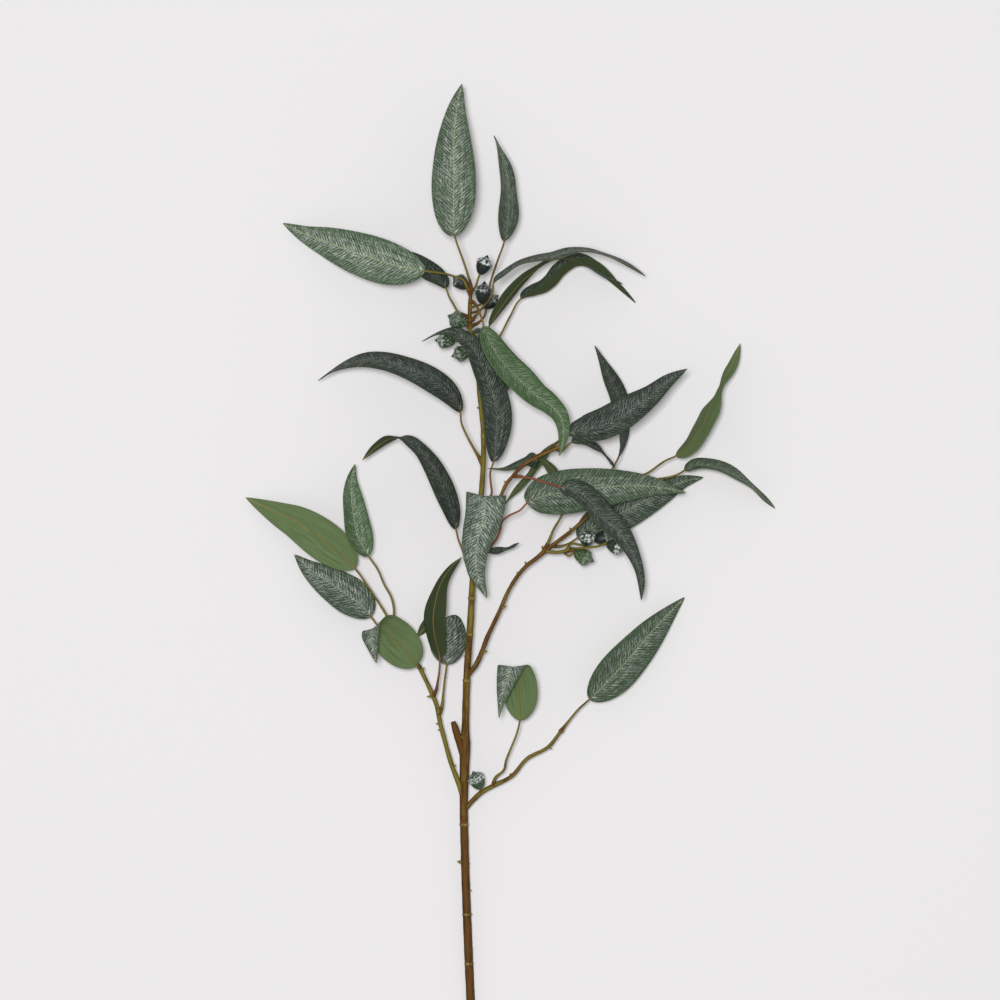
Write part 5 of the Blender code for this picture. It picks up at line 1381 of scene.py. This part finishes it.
def grow_gumnut(nut, number, line, settings, wood, trees, skin, bark):
    """One gumnut, turned from its outline, on its stalk."""
    radius = settings.radius * nut["size"]
    outline = Route([(share, 0, height) for share, height in GUMNUT_OUTLINE])
    rows = settings.rows
    places = [outline.at(outline.length * row / (rows - 1)) for row in range(rows)]
    heights = [place.z for place in places]
    item = line_mesh(nut["name"] + "_outline", [(0, 0, row) for row in range(rows)], {
        "nut_radius": [max(place.x, 0.0) * radius for place in places],
        "nut_height": [height * radius for height in heights],
        "nut_rib": [float(value) for value in np.interp(
            heights, NUT_RING_HEIGHTS, NUT_RING_STRENGTHS)],
    })
    run_tree(item, trees["gumnut"], {
        "Sides": settings.sides, "Rows": rows, "Ribs": float(settings.ribs),
        "Rib Height": settings.rib_height, "Tone": nut["tone"], "Material": skin})
    point = Vector(nut["point"]).normalized()
    turn = Vector((0, 0, 1)).rotation_difference(point).to_matrix().to_4x4()
    turn.translation = to_world(nut["heart"])
    item.data.transform(turn)
    route = gumnut_route(nut)
    start = max(spur_length(line, route, wood.nut_stalk_radius / MM) - NUT_STALK_SINK, 0.0)
    steps = max(NUT_STALK_LEAST_STEPS, round((route.length - start) / NUT_STALK_STEP))
    shares = [step / steps for step in range(steps + 1)]
    points = [route.at(start + (route.length - start) * share) for share in shares]
    necks = [max(0.0, share - NECK_START) / (1 - NECK_START) for share in shares]
    radii = [wood.nut_stalk_radius / MM * (1 + NECK_SWELLING * neck) for neck in necks]
    tones = [(*nut["stalk_tone"], 0.0)] * len(points)
    stalk = rod(nut["name"] + "_stalk", points, radii, tones, NUT_BARK_SHIFT * number,
                trees["rod"], STALK_SIDES, bark)
    return join("grown_" + nut["name"], [item, stalk])


def cut_end(mesh, sawn):
    """Gives the sawn material to the stem's cut end. Only ends have over four corners."""
    mesh.materials.append(sawn)
    caps = [face for face in mesh.polygons if len(face.vertices) > 4]
    lowest = min(caps, key=lambda face: face.center.y)
    lowest.material_index = len(mesh.materials) - 1


class LeafSettings(bpy.types.PropertyGroup):
    """Sizes and colours of the leaves."""

    stations: bpy.props.IntProperty(
        name="Stations", description="Steps along a blade", default=150, min=8)
    strips: bpy.props.IntProperty(
        name="Strips", description="Strips across a blade", default=20, min=2)
    blade_wall: length("Blade wall", 0.6, "Thickness of a blade")
    wave: length("Edge wave", 0.7, "How far the blade's edge waves up and down")
    waves: bpy.props.FloatProperty(
        name="Waves", description="Turn of the edge wave from base to tip",
        subtype="ANGLE", default=14.0)
    vein_spacing: length("Vein spacing", 3.2, "Distance between side veins")
    vein_height: length("Vein height", 0.05, "How far side veins stand out")
    groove: length("Midrib groove", 0.25, "Depth of the groove over the midrib")
    deep_green: colour("Deep green", "212f22", "Upper side")
    fresh_green: colour("Fresh green", "3b5c29", "Upper side of the greener leaves")
    shade_green: colour("Shade green", "141c18", "Upper side of the darkest leaves")
    silver: colour("Silver", "d3e0d1", "Fine hairs along the side veins")
    midrib: colour("Midrib", "a3ac78", "Midrib on the upper side")
    under_green: colour("Under side", "4f6238", "Under side")
    under_pale: colour("Under side, paler", "6b7d58", "Paler patches of the under side")
    under_dark: colour("Under side, darker", "2f3922", "Under side of the darkest leaves")
    under_rib: colour("Under midrib", "8c8450", "Midrib on the under side")


class GumnutSettings(bpy.types.PropertyGroup):
    """Sizes and colours of the gumnuts."""

    radius: length("Radius", GUMNUT_RADIUS, "Radius of a gumnut of size 1")
    sides: bpy.props.IntProperty(
        name="Sides", description="Steps round a gumnut", default=80, min=8)
    rows: bpy.props.IntProperty(
        name="Rows", description="Steps from foot to beak", default=34, min=6)
    ribs: bpy.props.IntProperty(
        name="Ribs", description="Ribs round a gumnut", default=9, min=3)
    rib_height: bpy.props.FloatProperty(
        name="Rib height", description="Height of a rib as a share of the radius", default=0.13)
    nut_dark: colour("Dark green", "1d2722", "Skin of the darker gumnuts")
    nut_green: colour("Green", "43602f", "Skin of the greener gumnuts")
    nut_deep: colour("Shadow green", "121814", "Mottling in the skin")
    nut_frost: colour("Frost", "ccd4d0", "Frosted ribs and specks")


class WoodSettings(bpy.types.PropertyGroup):
    """Sizes and colours of the stem, branches and stalks."""

    stalk_radius: length("Stalk radius", 1.15, "Radius of a leaf's stalk")
    foot_radius: length("Foot radius", 1.6, "Radius of a stalk at its foot")
    nut_stalk_radius: length("Gumnut stalk radius", 1.0, "Radius of a gumnut's stalk")
    olive: colour("Olive", "776b2a", "Young bark")
    brown: colour("Brown", "603f15", "Older bark")
    red: colour("Red", "93523f", "Sun-reddened stalks")
    # Painted shade where round bark turns away from the view, and the colour of the bark's own cracks
    shadow: colour("Shadow brown", "2c1f10", "Bark where it turns away, and its cracks")
    pale_ring: colour("Pale ring", "97894a", "Rings and scars on the bark")
    cut_pale: colour("Cut wood", "c9b083", "Sawn end")
    cut_dark: colour("Cut wood, darker", "a98c5e", "Rings in the sawn end")


class StageSettings(bpy.types.PropertyGroup):
    """Floor, light and camera."""

    paper: colour("Paper", "e6e4e5", "The floor")
    paper_size: bpy.props.FloatProperty(
        name="Paper size", description="Side of the floor", unit="LENGTH", default=14.0)
    sky: bpy.props.FloatProperty(
        name="Room light", description="Strength of the light all round", default=0.32)
    key_power: bpy.props.FloatProperty(
        name="Key light", description="Power of the large soft light", default=345.0)
    lens: bpy.props.FloatProperty(
        name="Lens", description="Focal length in millimetres", default=250.0)
    camera_height: bpy.props.FloatProperty(
        name="Camera height", description="Camera above the floor", unit="LENGTH", default=6.3)


class Branch:
    """What the operators share: node trees, materials and lines of the wood."""

    trees = {}
    lines = {}
    skins = {}

    @classmethod
    def prepare(cls, scene):
        if cls.trees:
            return
        cls.trees = {"blade": blade_tree(), "rod": rod_tree(), "bud": bud_tree(),
                     "gumnut": gumnut_tree()}
        cls.lines = {name: wood_line(table) for name, (table, _, _) in WOOD.items()}
        cls.lines["middle_right_branch"] += wood_line(GUMNUT_SPUR)
        cls.skins = {
            "upper": leaf_upper(scene.branch_leaf), "under": leaf_under(scene.branch_leaf),
            "nut": gumnut_skin(scene.branch_gumnut), "bark": green_wood(scene.branch_wood),
            "cut": cut_wood(scene.branch_wood)}


class BRANCH_OT_grow_leaves(bpy.types.Operator):
    """Grow every leaf with its stalk"""

    bl_idname = "branch.grow_leaves"
    bl_label = "Grow leaves"

    def execute(self, context):
        scene = context.scene
        Branch.prepare(scene)
        skins = [Branch.skins["upper"], Branch.skins["under"], Branch.skins["bark"]]
        for number, leaf in enumerate(LEAVES):
            piece = grow_leaf(leaf, number, Branch.lines[leaf["wood"]], scene.branch_leaf,
                              scene.branch_wood, Branch.trees, skins)
            give(piece, leaf["name"])
        return {"FINISHED"}


class BRANCH_OT_grow_gumnuts(bpy.types.Operator):
    """Grow every gumnut with its stalk"""

    bl_idname = "branch.grow_gumnuts"
    bl_label = "Grow gumnuts"

    def execute(self, context):
        scene = context.scene
        Branch.prepare(scene)
        for number, nut in enumerate(GUMNUTS):
            piece = grow_gumnut(nut, number, Branch.lines[nut["wood"]], scene.branch_gumnut,
                                scene.branch_wood, Branch.trees, Branch.skins["nut"],
                                Branch.skins["bark"])
            give(piece, nut["name"])
        return {"FINISHED"}


class BRANCH_OT_grow_wood(bpy.types.Operator):
    """Grow the main stem and the side branches with their buds and feet"""

    bl_idname = "branch.grow_wood"
    bl_label = "Grow wood"

    def execute(self, context):
        scene = context.scene
        Branch.prepare(scene)
        wood = scene.branch_wood
        bark = Branch.skins["bark"]
        for number, (name, (table, buds, tones)) in enumerate(WOOD.items()):
            main = name == "main_stem"
            rings = MAIN_STEM_RINGS if main else []
            stick = grow_rod(name + "_stick", table, rings, tones, number, Branch.trees,
                             STEM_SIDES if main else BRANCH_SIDES, bark)
            if main:
                cut_end(stick.data, Branch.skins["cut"])
            items = [stick, *grow_spurs(name, Branch.lines[name], wood, Branch.trees, bark),
                     grow_buds(name + "_buds", buds, Branch.trees, bark)]
            if main:
                items.append(grow_rod("cut_stub", CUT_STUB, [], STUB_TONES, CUT_STUB_NUMBER,
                                      Branch.trees, STUB_SIDES, bark))
            if name == "middle_right_branch":
                items.append(grow_rod("gumnut_spur", GUMNUT_SPUR, [], GUMNUT_SPUR_TONES,
                                      GUMNUT_SPUR_NUMBER, Branch.trees, SPUR_SIDES, bark))
            give(join("grown_" + name, items), name)
        return {"FINISHED"}


class BRANCH_OT_set_stage(bpy.types.Operator):
    """Lay the paper, hang the light and place the camera"""

    bl_idname = "branch.set_stage"
    bl_label = "Set stage"

    def execute(self, context):
        scene = context.scene
        stage = scene.branch_stage
        half = stage.paper_size / 2
        mesh = bpy.data.meshes.new("paper")
        mesh.from_pydata([(-half, -half, 0), (half, -half, 0), (half, half, 0), (-half, half, 0)],
                         [], [(0, 1, 2, 3)])
        paper = bpy.data.objects.new("paper", mesh)
        scene.collection.objects.link(paper)
        mesh.materials.append(studio_paper(stage))

        world = bpy.data.worlds.new("studio_room")
        world.use_nodes = True
        room = world.node_tree.nodes["Background"]
        room.inputs["Color"].default_value = (1.0, 1.0, 1.0, 1.0)
        room.inputs["Strength"].default_value = stage.sky
        scene.world = world

        light = bpy.data.lights.new("key_light", "AREA")
        light.shape = "SQUARE"
        light.size = KEY_LIGHT_SIZE
        light.energy = stage.key_power
        lamp = bpy.data.objects.new("key_light", light)
        lamp.location = KEY_LIGHT_PLACE
        lamp.rotation_euler = lamp.location.to_track_quat("Z", "Y").to_euler()
        scene.collection.objects.link(lamp)

        camera = bpy.data.cameras.new("overhead_camera")
        camera.lens = stage.lens
        camera.sensor_width = SENSOR_WIDTH_MM
        camera.clip_end = SIGHT_END
        eye = bpy.data.objects.new("overhead_camera", camera)
        eye.location = (-TABLE_CENTRE.x * MM, -TABLE_CENTRE.y * MM, stage.camera_height)
        scene.collection.objects.link(eye)
        scene.camera = eye
        scene.view_settings.view_transform = "Standard"
        return {"FINISHED"}


class BRANCH_PT_panel(bpy.types.Panel):
    """Buttons that grow the branch, piece by piece"""

    bl_label = "Eucalyptus branch"
    bl_space_type = "VIEW_3D"
    bl_region_type = "UI"
    bl_category = "Branch"

    def draw(self, context):
        for operator in OPERATORS:
            self.layout.operator(operator.bl_idname)


OPERATORS = (BRANCH_OT_grow_leaves, BRANCH_OT_grow_gumnuts, BRANCH_OT_grow_wood,
             BRANCH_OT_set_stage)
SETTINGS = {"branch_leaf": LeafSettings, "branch_gumnut": GumnutSettings,
            "branch_wood": WoodSettings, "branch_stage": StageSettings}


def register():
    for group in (*SETTINGS.values(), *OPERATORS, BRANCH_PT_panel):
        bpy.utils.register_class(group)
    for name, group in SETTINGS.items():
        setattr(bpy.types.Scene, name, bpy.props.PointerProperty(type=group))


def unregister():
    for name in SETTINGS:
        delattr(bpy.types.Scene, name)
    for group in reversed((*SETTINGS.values(), *OPERATORS, BRANCH_PT_panel)):
        bpy.utils.unregister_class(group)


def main():
    register()
    bpy.ops.branch.grow_leaves()
    bpy.ops.branch.grow_gumnuts()
    bpy.ops.branch.grow_wood()
    bpy.ops.branch.set_stage()
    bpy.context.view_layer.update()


if __name__ == "__main__":
    main()
